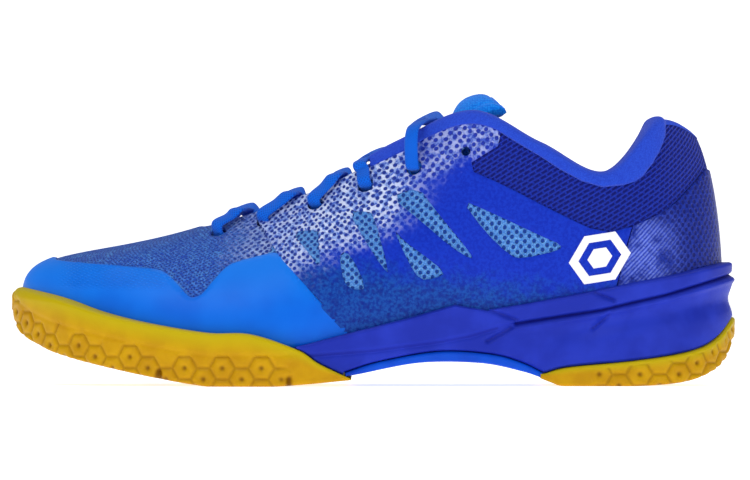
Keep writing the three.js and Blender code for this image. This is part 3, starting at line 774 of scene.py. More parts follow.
def collar_mesh_look():
    """Ribbed navy mesh: slanting rows of long openings, each row shifted by half an opening."""
    look = Look("collar_mesh", 0.7, 0.08, Sheen_Weight=0.06)
    rows = look.mapped(look.uv, (1 / (3.0 * MM), 1 / (1.7 * MM), 1), -30, turn_first=True)
    along, across, _ = look.axes(rows)
    wander = look.scaled(heather(look, 3 * MM), 0.3, -0.15)
    across = look.plus(across, wander)
    shift = look.times(look.maths("FLOOR", across), 0.5)
    row = look.away_from(look.maths("FRACT", across), 0.5)
    column = look.away_from(look.maths("FRACT", look.plus(along, shift)), 0.5)
    openings = look.times(look.ramp(row, 0.30, 0.16), look.ramp(column, 0.44, 0.30))
    tone = look.ramp(heather(look, 0.7 * MM), 0.35, 0.65)
    rib = look.ramp(row, 0.2, 0.5)
    color = look.mix(tone, rgb(18, 36, 148), rgb(26, 50, 170))
    color = look.mix(look.times(rib, 0.5), color, rgb(34, 60, 188))
    color = look.mix(look.times(openings, 0.85), color, rgb(8, 12, 98))
    yarn = look.minus(rib, openings)
    return look.paint(color, None, look.bump(yarn, 0.4 * MM))


def heel_film_look():
    """Film over the heel: a moulded diamond net, with a lit patch of fine ribs by the side."""
    look = Look("heel_film", 0.36, 0.12)
    diamonds = knit(look, 3.4 * MM, 3.6 * MM, 45, 0.40, 0.2)
    x, _, z = look.axes(look.place)
    side = look.times(look.ramp(x, 0.130, 0.106), look.ramp(x, 0.094, 0.104))
    side = look.times(side, look.ramp(z, 0.074, 0.058))
    tone = look.ramp(heather(look, 1.2 * MM), 0.36, 0.64)
    ribs = look.waves(look.uv, 1.3 * MM, 45, 1.0)
    color = look.mix(tone, rgb(16, 34, 128), rgb(26, 50, 158))
    bright = look.mix(ribs, rgb(38, 62, 184), rgb(112, 132, 222))
    lit = look.times(side, look.ramp(heather(look, 6 * MM), 0.3, 0.62))
    color = look.mix(lit, color, bright)
    net = look.times(diamonds, look.ramp(side, 0.1, 0.7, 0.75, 0.15))
    color = look.mix(net, color, rgb(12, 16, 92))
    return look.paint(color, None, look.bump(look.minus(1.0, diamonds), 0.3 * MM))


def cloth_look(name, light, dark, weave=0.9 * MM, sheen=0.12):
    """Soft knitted cloth: small loops under a short nap."""
    look = Look(name, 0.85, 0.08, Sheen_Weight=sheen, Sheen_Roughness=0.5)
    stitches = look.mapped(look.place, (1 / weave,) * 3)
    loops = look.ramp(look.cells(stitches, 0.5, flat=False), 0.15, 0.75)
    fluff = look.noise(look.place, 0.7 * MM, 3, 0.6)
    patch = look.noise(look.place, 12 * MM, 2)
    share = look.scaled(loops, -0.35, look.scaled(fluff, 0.8, 0.3))
    color = look.mix(look.ramp(share, 0.25, 0.85), dark, light)
    color = look.mix(look.ramp(patch, 0.4, 0.7, 0, 0.15), color, dark)
    height = look.minus(fluff, look.times(loops, 0.7))
    return look.paint(color, None, look.bump(height, 0.12 * MM))


def lace_look():
    """Flat woven lace: a plait of slanting yarns, with painted shade between them."""
    look = Look("lace_weave", 0.7, 0.1, Sheen_Weight=0.1)
    one = look.waves(look.uv, 0.8 * MM, 38)
    two = look.waves(look.uv, 0.8 * MM, -38)
    plait = look.maths("MAXIMUM", one, two)
    # Painted shade: the lace is darker between the raised yarns of the plait.
    color = look.mix(look.ramp(plait, 0.3, 0.95), rgb(0, 72, 184), rgb(0, 100, 218))
    return look.paint(color, None, look.bump(plait, 0.12 * MM))


def plain_look(name, light, dark, size, depth, roughness):
    """Board, stiffener or foam: a fine grain in two close tones."""
    look = Look(name, roughness)
    grain = look.noise(look.place, size, 3, 0.6)
    color = look.mix(look.ramp(grain, 0.35, 0.65), dark, light)
    return look.paint(color, None, look.bump(grain, depth))


# ---- camera, light and stage ----
SKY = 0.34  # strength of the even white light from all round
BACKDROP_GLOW = 0.75  # keeps the paper close to white
STAGE_RADIUS, STAGE_CURVE = 8.0, 1.2
VIEW_WIDTH = 0.3004  # how wide the view is at the shoe
VIEW_MIDDLE_Z = 0.0581
VIEW_SHIFT = 0.0008  # of the view's middle from the shoe's, along X
CAMERA_DISTANCE = 4.0


def make_camera():
    """A level long-lens view of the lateral side."""
    low, high = CAD_BOX
    data = bpy.data.cameras.new("camera")
    data.sensor_width = 36
    data.lens = data.sensor_width * CAMERA_DISTANCE / VIEW_WIDTH
    data.clip_end = 20
    camera = add_object("camera", data)
    camera.location = ((low.x + high.x) / 2 + VIEW_SHIFT, -CAMERA_DISTANCE, VIEW_MIDDLE_Z)
    camera.rotation_euler = (math.pi / 2, 0, 0)
    bpy.context.scene.camera = camera


def make_light(name, place, size, power, target=(0, 0, 0.05)):
    data = bpy.data.lights.new(name, "AREA")
    data.shape = "RECTANGLE"
    data.size, data.size_y = size
    data.energy = power
    light = add_object(name, data)
    light.location = place
    light.rotation_mode = "QUATERNION"
    light.rotation_quaternion = (Vector(target) - light.location).to_track_quat("-Z", "Y")


def make_stage():
    """A pale round floor that curves up into a low wall, out of the way of every camera."""
    around = 64
    turn = 2 * math.pi * np.arange(around) / around
    vertices = []
    for angle in np.linspace(0, math.pi / 2, 9):
        radius = STAGE_RADIUS + STAGE_CURVE * math.sin(angle)
        height = STAGE_CURVE * (1 - math.cos(angle))
        vertices += [(radius * math.cos(a), radius * math.sin(a), height) for a in turn]
    faces = [list(range(around))]
    for start in range(0, len(vertices) - around, around):
        for k in range(around):
            following = (k + 1) % around
            faces.append([start + k, start + k + around, start + following + around, start + following])
    mesh = bpy.data.meshes.new("backdrop")
    mesh.from_pydata(vertices, [], faces)
    backdrop = add_object("backdrop", mesh)
    look = Look("backdrop_paper", 0.9)
    grain = look.noise(look.place, 0.02, 2)
    look.paint(look.mix(grain, (0.90, 0.90, 0.90, 1), (0.94, 0.94, 0.94, 1)))
    look.surface.inputs["Emission Color"].default_value = (1, 1, 1, 1)
    look.surface.inputs["Emission Strength"].default_value = BACKDROP_GLOW
    mesh.materials.append(look.material)
    world = bpy.data.worlds.new("studio")
    world.use_nodes = True
    world.node_tree.nodes["Background"].inputs["Color"].default_value = (1, 1, 1, 1)
    world.node_tree.nodes["Background"].inputs["Strength"].default_value = SKY
    bpy.context.scene.world = world
    make_light("key", (-0.9, -1.6, 1.6), (1.2, 1.0), 13)
    make_light("fill", (1.3, -1.5, 0.7), (1.0, 1.0), 5)
    make_light("top", (0, 0.3, 1.8), (1.6, 1.2), 12)
    bpy.context.scene.view_settings.view_transform = "Standard"


# ---- the lace ----
THROAT = np.array([0.88, 0, 0.47])  # the way the throat climbs
ACROSS = np.array([0.0, 1.0, 0.0])
OVER_TONGUE = np.array([-0.47, 0, 0.88])  # the way the tongue faces
INSIDE = 3.9 + 2 * GAP + LACE_THICK / 2 + 0.2  # depth of the lace's middle inside the shoe
OUTSIDE = -(LACE_THICK / 2 + GAP + 0.2)  # and outside
BAR_Z = 61.2  # height of the lowest, straight crossing
TUCK = (34, 20.7, 97)  # where the ends go down beside the tongue: x, distance from the middle, z
LAST = len(EYELETS) - 2  # the last row that is laced; the topmost eyelets stay free
TAIL_END_X = -88
AGLET_LENGTH, AGLET_RADIUS = 20.0, 1.5


def band(name, points, guides, steps, sides=14):
    """A flat woven band along a smooth path; guides give the way its width lies."""
    t = np.linspace(0, 1, steps + 1)
    centre = path_point(points, t)
    delta = 1e-4
    tangent = unit(path_point(points, t + delta) - path_point(points, t - delta))
    place = t * (len(guides) - 1)
    first = np.minimum(place.astype(int), len(guides) - 2)
    guides = np.asarray(guides, float)
    width = guides[first] + (guides[first + 1] - guides[first]) * (place - first)[:, None]
    width = unit(width - tangent * (width * tangent).sum(1)[:, None])
    thick = np.cross(tangent, width)
    angle = 2 * math.pi * np.arange(sides) / sides
    across = LACE_WIDTH / 2 * np.cos(angle)
    up = LACE_THICK / 2 * np.sign(np.sin(angle)) * np.abs(np.sin(angle)) ** 0.75
    vertices = (centre[:, None] + width[:, None] * across[None, :, None]
                + thick[:, None] * up[None, :, None]).reshape(-1, 3)
    length = run_length(centre)
    uv = np.stack(np.broadcast_arrays(length[:, None], across[None]), -1).reshape(-1, 2) * MM
    piece = make_piece(name, vertices, tube_faces(steps + 1, sides), uv, 60)
    return piece, centre, float(length[-1])


def through_eyelet(side, row):
    """Points out through an eyelet, each with the way the lace's upper face turns there."""
    u = station(EYELETS[row], side)
    _, up, out = directions(upper_point, np.array(u), np.array(EYELET_HEIGHT))
    places = [(0, INSIDE, -up), (0, 2.55, -up), (0.01, OUTSIDE - 0.6, unit(out - up))]
    return [(under(u, EYELET_HEIGHT + rise, depth), facing) for rise, depth, facing in places]


def on_wall(k, side, v, depth):
    """A point at a depth under the wall, facing out of the shoe."""
    u = station(k, side)
    return under(u, v, depth), directions(upper_point, np.array(u), np.array(v))[2]


def crossing(side, row, rise):
    """Out of an eyelet, over that side's edge, across the tongue and under the other edge."""
    lean = LOOP_LEAN[row]
    hug = on_wall(EYELETS[row] + 0.45 * lean, side, 0.945, OUTSIDE - 0.4)
    over = on_wall(EYELETS[row] + lean, side, 1.0, OUTSIDE - 0.7)
    below = on_wall(EYELETS[row + 1] - 0.3, -side, 1.0, INSIDE + GAP)
    middle = (over[0] + below[0]) / 2 + [0, 0, rise]
    return through_eyelet(side, row) + [hug, over, (middle, OVER_TONGUE), below]


def last_stretch(side, rise):
    """From the top eyelet over the collar and the tongue, and down beside the tongue."""
    aside = np.array([0, -side, 0])
    return through_eyelet(side, LAST) + [
        on_wall(EYELETS[LAST] + LOOP_LEAN[LAST], side, 1.0, OUTSIDE - 6.2),
        (np.array([23, side * 9, 105.5 + rise]), OVER_TONGUE),
        (np.array([26.5, -side * 9, 104.3 + rise / 2]), OVER_TONGUE),
        (np.array([31.5, -side * 18.5, 102.0]), unit(OVER_TONGUE + aside)),
        (np.array([TUCK[0], -side * TUCK[1], TUCK[2]]), aside),
    ]


def half_lace(side):
    """One half's points, and the way its width lies at each."""
    knots = []
    for row in range(LAST):
        knots += crossing(side, row, 3.4 if side > 0 else 0.9)
        side = -side
    knots += last_stretch(side, 2.6 if side > 0 else 0)
    points, facing = (np.array(column) for column in zip(*knots))
    return points, unit(np.cross(facing, np.gradient(points, axis=0)))


def make_lace(look):
    (lateral, lateral_width), (medial, medial_width) = half_lace(LATERAL), half_lace(MEDIAL)
    bar = (lateral[0] + medial[0]) / 2
    bar[2] = BAR_Z
    points = np.vstack([lateral[::-1], [bar], medial])
    widths = np.vstack([-lateral_width[::-1], [THROAT], medial_width])
    piece, _, _ = band("lace_band", points, widths, 900)
    finish_piece(piece, look, ["lace"])


# The route of a tail in metres, on the medial side: down beside the tongue to the insole.
TAIL_DROP = [
    (0.0342, 0.0208, 0.0964),
    (0.0370, 0.0210, 0.0880),
    (0.0400, 0.0213, 0.0740),
    (0.0420, 0.0210, 0.0600),
    (0.0400, 0.0190, 0.0460),
    (0.0310, 0.0165, 0.0345),
]
TAIL_LYING = [14, -6, -28, -50, -70, TAIL_END_X]


def tail_points(side):
    """A tail's route: down beside the tongue, then along the insole towards the toe."""
    lying = [(x, 14 + 2.2 * math.sin(x / 19), float(insole_top(x)) + LACE_THICK / 2 + 3 * GAP)
             for x in TAIL_LYING]
    points = np.vstack([np.array(TAIL_DROP) / MM, lying])
    return points * [1, side, 1]


def make_aglet(name, points, look):
    """The plastic tip: a crimped tube with rounded ends."""
    end = points[-1]
    along = end - points[-2]
    along[2] = float(insole_top(end[0] - AGLET_LENGTH) - insole_top(end[0]))
    along[0] = -AGLET_LENGTH
    along = unit(along)
    start = end + along * (GAP + 0.2)
    start[2] += AGLET_RADIUS - LACE_THICK / 2 + 0.2
    side = unit(np.cross(along, [0, 0, 1.0]))
    up = np.cross(side, along)
    rings, sides = 25, 20
    angle = 2 * math.pi * np.arange(sides) / sides
    vertices = []
    for k in range(rings):
        s = k / (rings - 1)
        from_end = min(1, min(s, 1 - s) / 0.06)
        end_round = math.sqrt(max(0.0, 1 - (1 - from_end) ** 2))
        crimp = 1 - 0.06 * (k % 8 == 4)
        radius = AGLET_RADIUS * max(0.45, end_round) * crimp
        centre = start + along * AGLET_LENGTH * s
        around = np.cos(angle)[:, None] * side + np.sin(angle)[:, None] * up
        vertices.append(centre + radius * around)
    piece = make_piece(name, np.vstack(vertices), tube_faces(rings, sides), None, 50)
    return finish_piece(piece, look, body="insole")


def make_tails(lace_material, tip_material):
    for side, word in SIDES:
        points = tail_points(side)
        guides = [THROAT + (ACROSS - THROAT) * min(k / 4, 1) for k in range(len(points))]
        tail, centre, length = band(f"lace_tail_{word}_cord", points, guides, 240)
        tip = make_aglet(f"aglet_{word}_tip", points, tip_material)
        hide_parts(f"aglet_{word}")
        finish_piece(tail, lace_material, [f"lace_tail_{word}"], None)
        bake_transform(tail)


# ---- the soles ----
def along_profile(points):
    """A height that follows side-view points (x, z)."""
    points = np.array(sorted(points), float)
    t = np.linspace(0, 1, 400)
    curve = path_point(points, t)
    return lambda x: np.interp(x, curve[:, 0], curve[:, 1])


def hexagons(a, b, pitch):
    """Distance to the nearest hexagon centre and to its edge, that centre's a, and the lower
    a of the two nearest centres."""
    row = pitch * math.sqrt(3) / 2
    j = np.round(b / row)
    centres = []
    for dj in (-1, 0, 1):
        jj = j + dj
        shift = np.mod(jj, 2) * pitch / 2
        i = np.round((a - shift) / pitch)
        for di in (-1, 0, 1):
            centres.append(np.stack([(i + di) * pitch + shift, jj * row], -1))
    centres = np.stack(centres)
    distance = np.linalg.norm(np.stack([a, b], -1) - centres, axis=-1)
    order = np.argsort(distance, axis=0)[:2]
    near, second = np.take_along_axis(distance, order, 0)
    own, other = np.take_along_axis(centres[..., 0], order, 0)
    return near, (second ** 2 - near ** 2) / (2 * pitch), own, np.minimum(own, other)


def near_line(x, z, line):
    """Distance from side-view places to a polyline."""
    line = np.asarray(line, float)
    best = np.full(np.shape(x), 1e9)
    for a, b in zip(line[:-1], line[1:]):
        d = b - a
        t = np.clip(((x - a[0]) * d[0] + (z - a[1]) * d[1]) / (d @ d), 0, 1)
        best = np.minimum(best, np.hypot(x - a[0] - t * d[0], z - a[1] - t * d[1]))
    return best


def plan_halves(out):
    """The lateral and medial halves of the plan outline moved out, each by rising x."""
    u = np.linspace(0, 1, 3000, endpoint=False)
    points = ring_point(FOOT, u) + outward(u) * out
    first, last = np.argmin(points[:, 0]), np.argmax(points[:, 0])
    turned = np.roll(points, -first, axis=0)
    turned_u = np.roll(u, -first)
    split = (last - first) % len(u)
    lateral = turned[: split + 1], turned_u[: split + 1]
    medial = turned[split:][::-1], turned_u[split:][::-1]
    return lateral, medial


def sole_rows(out, x_from, x_to, step):
    """x of each row, by even steps along the outline, and the lateral and medial places."""
    lateral, medial = plan_halves(out)
    length = run_length(lateral[0][:, :2])
    xs = np.interp(np.arange(step * 0.4, length[-1], step), length, lateral[0][:, 0])
    xs = xs[(xs > x_from) & (xs < x_to)]
    ends = [x for x in (x_from, x_to) if lateral[0][0, 0] < x < lateral[0][-1, 0]]
    xs = np.unique(np.concatenate([xs, ends]))
    return xs, lateral, medial


def rim_point(u, height):
    """Points on the upper's outside at those heights above the ground."""
    v = np.linspace(0, 0.6, 60)
    points = under(u[:, None], v[None], -0.15)
    made = np.empty((len(u), 3))
    for k, (line, top) in enumerate(zip(points, height)):
        made[k] = [np.interp(top, line[:, 2], line[:, n]) for n in range(3)]
    made[:, 2] = np.maximum(height, points[:, 0, 2])
    return made


def wall_heights(bottom, top, guide, levels):
    """Heights of a wall's rows, drawn together along a guide line where there is one."""
    bottom, top = bottom[:, None], top[:, None]
    if guide is None:
        return bottom + (top - bottom) * np.linspace(0, 1, levels)
    lower = 1 - (1 - np.linspace(0, 1, levels * 3 // 5)) ** 1.7
    upper = np.linspace(0, 1, levels - len(lower) + 1)[1:] ** 1.7
    middle = np.clip(guide[:, None], bottom + 0.3 * (top - bottom), top - 0.15 * (top - bottom))
    return np.hstack([bottom + (middle - bottom) * lower, middle + (top - middle) * upper])


def rounded_off(distance, radius):
    """How far a wall draws in at a distance from a rounded edge."""
    radius = radius[:, None]
    return radius - np.sqrt(np.maximum(radius ** 2 - np.maximum(radius - distance, 0) ** 2, 0))


def sole_wall(half, xs, bottom, top, shape):
    """One side of a sole: its rows of places, how much painted shade each gets, and the u of each row."""
    points, u = half
    order = np.argsort(points[:, 0])
    plan = np.column_stack([np.interp(xs, points[order, 0], points[order, n]) for n in (0, 1)])
    us = np.interp(xs, points[order, 0], np.unwrap(u[order] * 2 * math.pi) / (2 * math.pi))
    normal = outward(us)[:, :2]
    guide = shape["guide"](xs) if shape["guide"] else None
    z = wall_heights(bottom, top, guide, shape["levels"])
    x = np.broadcast_to(plan[:, 0][:, None], z.shape)
    at_most = (top - bottom) / 2
    inset = (rounded_off(z - bottom[:, None], np.minimum(shape["rounding"], at_most))
             + rounded_off(top[:, None] - z, np.minimum(shape["top_rounding"](xs), at_most)))
    depth = groove_shade = 0 * x
    if shape["relief"]:
        along = np.interp(np.mod(us, 1), RING_U, RING_LENGTH)[:, None] + 0 * z
        depth, groove_shade = shape["relief"](x, z, along, bottom[:, None] + 0 * z, top[:, None] + 0 * z)
    move = -(inset + depth)
    level = [plan[:, n][:, None] + normal[:, n:n + 1] * move for n in (0, 1)]
    return np.stack([*level, z], -1), groove_shade, us


def sole_rim(wall, us, bed, top, floor, cup):
    """Three points a row, from a wall's top edge to the rim's inner edge and down to the bed."""
    if cup:
        foot = ring_point(FOOT, us) - outward(us) * 1.0
        inner = np.where((top > bed)[:, None], rim_point(us, np.maximum(top, bed)), foot)
    else:
        inner, foot = wall[:, -1] * [1, 0.96, 1], wall[:, -1] * [1, 0.85, 1]
    inner[:, 2] = top
    near = wall[:, -1] + (inner - wall[:, -1]) * 0.5
    return np.stack([near, inner, np.column_stack([foot[:, :2], floor])], 1)


def sole_base(lateral, medial, across, tread):
    """The underside between the walls' lower edges, with the tread cut into it and the painted shade of its
    grooves.
    """
    share = np.linspace(0, 1, across + 2)[1:-1]
    base = lateral[:, :1] + (medial[:, :1] - lateral[:, :1]) * share[None, :, None]
    groove_shade = np.zeros(base.shape[:2])
    if tread:
        lift, groove_shade = tread(base[..., 0], base[..., 1])
        base[..., 2] += lift * np.minimum(1, np.minimum(share, 1 - share)[None] * 25)
    return base, groove_shade


def sole_body(name, out, span, low, high, relief=None, tread=None, step=0.8, levels=22, across=100,
              rounding=1.4, top_rounding=lambda x: 1.4 + 0 * x, guide=None, cup=True):
    """A sole: rows of closed cross-sections along X with relief on its walls and its tread.

    A cup sole's rim meets the upper and its bed lies deeper; any other is flat on top.
    """
    xs, *halves = sole_rows(out, *span, step)
    bottom = np.maximum(low(xs), 0)
    top = np.maximum(high(xs), bottom + 0.4)
    bed = bed_height(xs)
    floor = np.minimum(top, bed - GAP) if cup else top
    shape = {"relief": relief, "levels": levels, "rounding": rounding, "top_rounding": top_rounding,
             "guide": guide}
    walls = [sole_wall(half, xs, bottom, top, shape) for half in halves]
    lid, other_lid = [sole_rim(wall, us, bed, top, floor, cup) for wall, _, us in walls]
    (lateral, groove_shade, _), (medial, medial_groove_shade, _) = walls
    base, base_groove_shade = sole_base(lateral, medial, across, tread)
    quarters = np.array([0.25, 0.5, 0.75])[None, :, None]
    middle = other_lid[:, 2:3] + (lid[:, 2:3] - other_lid[:, 2:3]) * quarters
    loop = np.concatenate([base, medial, other_lid, middle, lid[:, ::-1], lateral[:, ::-1]], 1)
    smooth = np.zeros((len(xs), lid.shape[1] + middle.shape[1] + other_lid.shape[1]))
    groove_shade = np.concatenate([base_groove_shade, medial_groove_shade, smooth, groove_shade[:, ::-1]], 1)
    rise = (loop[..., 2] - bottom[:, None]) / (top - bottom)[:, None]
    piece = make_piece(name, loop.reshape(-1, 3), tube_faces(*loop.shape[:2]), None, 42)
    # The painted shade of the grooves and the share of the height go on the points, for the materials.
    for key, values in (("groove_shade", groove_shade), ("rise", rise)):
        attribute = piece.data.attributes.new(key, "FLOAT", "POINT")
        attribute.data.foreach_set("value", values.ravel().astype(np.float32))
    return piece


FORE_TOP = along_profile([(-146, 39.4), (-141.5, 38.6), (-127, 34.9), (-110.6, 29.6), (-91.3, 25.2),
                          (-66.9, 21.4), (-49.3, 20.8), (-30, 14.8), (-21.2, 9.2), (-8.4, 3.0)])
FORE_LOW = along_profile([(-145.2, 30), (-144, 25), (-139.8, 19.2), (-125, 12.2), (-93, 4.6), (-66, 0),
                          (-53, 0), (-40, 0), (-24, 1.1), (-8.4, 2.6)])
PLATE_TOP = along_profile([(-11.2, 5.4), (2.8, 9.8), (26.8, 13.8), (47.3, 12.6), (59.7, 9.2), (67.5, 5.4)])
PLATE_LOW = along_profile([(-11.2, 3.9), (-5.2, 5.0), (18.8, 9.4), (42.9, 9.2), (58.9, 6.0), (67.5, 3.2)])
HEEL_TOP = along_profile([(66.4, 5.0), (68.5, 5.2), (78.1, 7.6), (104.6, 10.2), (126.2, 13.6), (137.4, 18.4),
                          (145.2, 27.6)])
HEEL_LOW = along_profile([(66.4, 3.2), (71, 1.4), (76, 0), (90, 0), (105, 0), (126.2, 2), (139.4, 8.2),
                          (145.2, 20)])
BAND_TOP = along_profile([(46.5, 30.6), (63.7, 33.4), (90.9, 38.5), (123, 44.5), (145.2, 49.4)])


def midsole_top(x):
    """The foam's top edge: a wedge that climbs to a peak, dips, and runs on as the heel's band."""
    front = np.interp(x, [-31, -9.2, 14.8, 32.8, 46.5], [15.6, 21.2, 27.2, 32.4, 30.0])
    return np.where(x < 46.5, front, BAND_TOP(x))


def midsole_low(x):
    """The foam rests on the rubber soles and the arch shank."""
    made = np.where(x < -11.2, FORE_TOP(x) + 0.25, PLATE_TOP(x) + 0.25)
    return np.where(x > 67.5, HEEL_TOP(x) + 0.25, made)


HEX_PITCH = 8.8
HEX_ROW = 7.4  # height of a row's centres on the wall
HEX_REACH = 8.4  # the highest centre above the sole's lower edge that is still cut
HEX_PERIOD = HEX_PITCH * math.sqrt(3)
# Stretches the pattern a little so that it closes round the whole outline.
HEX_FIT = round(RING_LENGTH[-1] / HEX_PERIOD) * HEX_PERIOD / RING_LENGTH[-1]
FLEX_LINES = [-84.9, -33.2]


def hex_relief(a, b):
    """The tread's grooves and dimples at places on it, and the heights of the cells they bound."""
    centre, edge, own, lower = hexagons(a, b, HEX_PITCH)
    return bell(edge, 0.75), bell(centre, 1.15), own, lower


def wall_hexagons(z, along, bottom):
    """The hexagons on a wall: how deep, and how much painted shade darkens them."""
    def cut(height):
        return 1 - smoothstep(height + HEX_ROW - bottom, HEX_REACH - 0.3, HEX_REACH + 0.3)

    groove, dimple, own, lower = hex_relief(z - HEX_ROW, along * HEX_FIT)
    groove = groove * cut(lower)
    dimple = dimple * cut(own)
    return 0.7 * groove + 1.0 * dimple, 0.45 * groove + 0.8 * dimple


def flex_grooves(x):
    return sum(bell(x - at, 1.3) for at in FLEX_LINES)


def fore_relief(x, z, along, bottom, top):
    """Hexagons on the lower half of the wall, smooth above."""
    depth, dark = wall_hexagons(z, along, bottom)
    reach = (1 - smoothstep(x, -38, -30)) * smoothstep(top - bottom, 8, 12)
    notch = flex_grooves(x) * (1 - smoothstep(z - bottom, 2.5, 5.0))
    line = bell(z - bottom - 12.2, 0.9) * smoothstep(top - bottom, 13, 16)
    # The second value is the painted shade of the hexagons and the flex notches.
    return reach * depth + 1.8 * notch + 0.2 * line, np.clip(reach * dark + notch, 0, 1)


def heel_relief(x, z, along, bottom, top):
    depth, dark = wall_hexagons(z + 2.6, along, bottom + 2.6)
    reach = smoothstep(x, 84, 90) * (1 - smoothstep(z - top, -2.2, -0.8))
    # The second value is the painted shade of the hexagons.
    return depth * reach, np.clip(dark * reach, 0, 1)


def tread_relief(x, y):
    """How far the tread's grooves rise into the sole, and how much painted shade darkens them."""
    groove, dimple, _, _ = hex_relief(y, x)
    flex = flex_grooves(x)
    lift = 1.3 * groove + 1.0 * dimple + 2.4 * flex
    return lift, np.clip(0.55 * groove + dimple + flex, 0, 1)


BAND_GROOVE = [(56.9, 24.8), (90.9, 30.2), (100.2, 32.4), (117.8, 36.3), (139.4, 42.5), (146, 44.6)]
CREASE = [(-27, 12), (0, 14.2), (26.8, 17.6), (39.3, 20), (49.7, 23.2), (56.9, 24.8)]
VALLEY = [(66, 19.0), (90, 24.5), (117, 29.5), (146, 35)]
NOTCHES = [
    [(87.2, 23.1), (93.9, 28.7)],
    [(47.5, 30.0), (57.0, 26.4)],
    [(88, 37.4), (95.7, 34.3)],
    [(45.7, 18.0), (54.9, 23.2)],
]


FOAM_GUIDE = np.array(CREASE + BAND_GROOVE[1:])


def foam_guide(x):
    return np.interp(x, FOAM_GUIDE[:, 0], FOAM_GUIDE[:, 1])


def midsole_relief(x, z, along, bottom, top):
    """The foam's band, creases and facets, and the painted shade of its grooves."""
    def cut(line, width, depth):
        return depth * bell(near_line(x, z, line), width)

    above = z - foam_guide(x)
    step_in = 1.1 * smoothstep(-above, -0.3, 1.0) * (1 - smoothstep(x, 46, 62))
    in_band = smoothstep(x, 50, 62)
    band_face = 0.5 * in_band * (1 - np.clip(above / 7, 0, 1)) * smoothstep(above, -0.2, 0.2)
    # Under the groove the wall stands out as a ridge, then falls back into a valley.
    ridge = -0.8 * in_band * bell(above + 2.0, 1.1)
    depth = step_in + band_face + ridge + 0.55
    depth = depth + cut(BAND_GROOVE, 0.75, 1.3) + cut(CREASE, 0.9, 0.7)
    depth = depth + cut(VALLEY, 4.2, 1.9) * smoothstep(x, 62, 90)
    # Painted shade: the band's groove, the front crease and the notches are darkened.
    dark = cut(BAND_GROOVE, 0.7, 0.9) + cut(CREASE, 0.8, 0.5) * (x < 50)
    for line in NOTCHES:
        depth = depth + cut(line, 0.9, 1.2)
        dark = dark + cut(line, 0.7, 0.5)
    return depth, np.clip(dark, 0, 1)


def make_soles(rubber, foam, shank):
    outsole = sole_body(
        "outsole_forefoot_gum", SOLE_EDGE, (-146, -8.6), FORE_LOW, FORE_TOP, fore_relief, tread_relief,
        step=0.5, levels=46, across=130, top_rounding=lambda x: 4.2 - 2.8 * smoothstep(x, -144, -118))
    finish_piece(outsole, rubber, ["outsole_forefoot"])
    heel = sole_body(
        "outsole_heel_gum", SOLE_EDGE, (66.6, 146), HEEL_LOW, HEEL_TOP, heel_relief, tread_relief,
        step=0.5, levels=30, across=110)
    finish_piece(heel, rubber, ["outsole_heel"])
    middle = sole_body(
        "midsole_foam", MIDSOLE_EDGE, (-30.5, 146), midsole_low, midsole_top, midsole_relief,
        step=0.6, levels=64, across=8, rounding=1.1, guide=foam_guide)
    finish_piece(middle, foam, ["midsole"])
    plate = sole_body(
        "arch_shank_plate", PLATE_EDGE, (-10.8, 67.2), PLATE_LOW, PLATE_TOP,
        step=1.0, levels=10, across=40, rounding=0.9)
    finish_piece(plate, shank, ["arch_shank"])


# ---- the upper's panels ----
GUARD_SIDE = [
    (-107.8, 48.9), (-95, 47.7), (-86, 47.0), (-82.5, 45.6), (-77.7, 40.9), (-74.1, 36.6), (-71.7, 35.2),
    (-67.7, 36.9), (-64.1, 41.7), (-58.1, 48.5), (-52.5, 50.5), (-42.5, 53.0), (-37.7, 53.8), (-32.8, 47.7),
    (-23.2, 36.1), (-13.6, 26), (-8.5, 20.4),
]
GUARD_RIDGE_X = -127.0  # where the guard's edge crosses the toe's ridge


def guard_outline():
    """Round the toe: up one side, across the ridge and down the other, closed along the sole."""
    lateral = side_path(GUARD_SIDE, LATERAL, rounds=2)
    medial = wrapped(side_path(GUARD_SIDE, MEDIAL, rounds=2))
    ridge = [(u, climb_to(u, GUARD_RIDGE_X + 60 * abs(u))) for u in (-0.02, 0.0, 0.02)]
    joint = path_point(np.vstack([medial[1], medial[0], ridge, lateral[0], lateral[1]]),
                       np.linspace(1 / 6, 5 / 6, 30))
    top = np.vstack([medial[::-1], joint[1:-1], lateral])
    return np.vstack([[(medial[-1][0], SOLE_LINE)], top, [(lateral[-1][0], SOLE_LINE)]])


WINDOWS = [
    [(-32.4, 61.7), (-21.6, 62.9), (-21.8, 58.5), (-20.6, 46.2), (-26.6, 54.5)],
    [(-12.6, 53.9), (-8.8, 52.6), (-2.4, 39.3), (-6.8, 38.1), (-11.2, 40.5), (-13.2, 49.4)],
    [(-10, 69.9), (-2.4, 69.9), (0.2, 68.6), (6.6, 44.9), (4, 46.9), (-3, 57.7)],
    [(7.9, 62.9), (12.8, 57.5), (19.2, 52.9), (29.3, 45), (24.3, 42.8), (18.7, 42.2), (14.2, 49)],
    [(6.6, 75.7), (18, 79.4), (24.4, 70.5), (38.9, 52.9), (39.5, 50.1), (30.5, 55.7), (19.4, 65.4)],
    [(35, 74.2), (46.8, 69.2), (67, 59.6), (74.8, 56.3), (74.3, 54), (59.1, 50.6), (54.6, 51.8),
     (44.5, 61.3)],
]
SOLE_LINE, THROAT_TOP = 0.004, 0.988  # v of the panels' lower and upper edges
FRONT_LINE = [(-37, 51.5), (-41, 58), (-46.5, 67.0)]
CORNER_LINE = [(51.2, 96.4), (39.1, 89.1), (40.0, 85.2)]
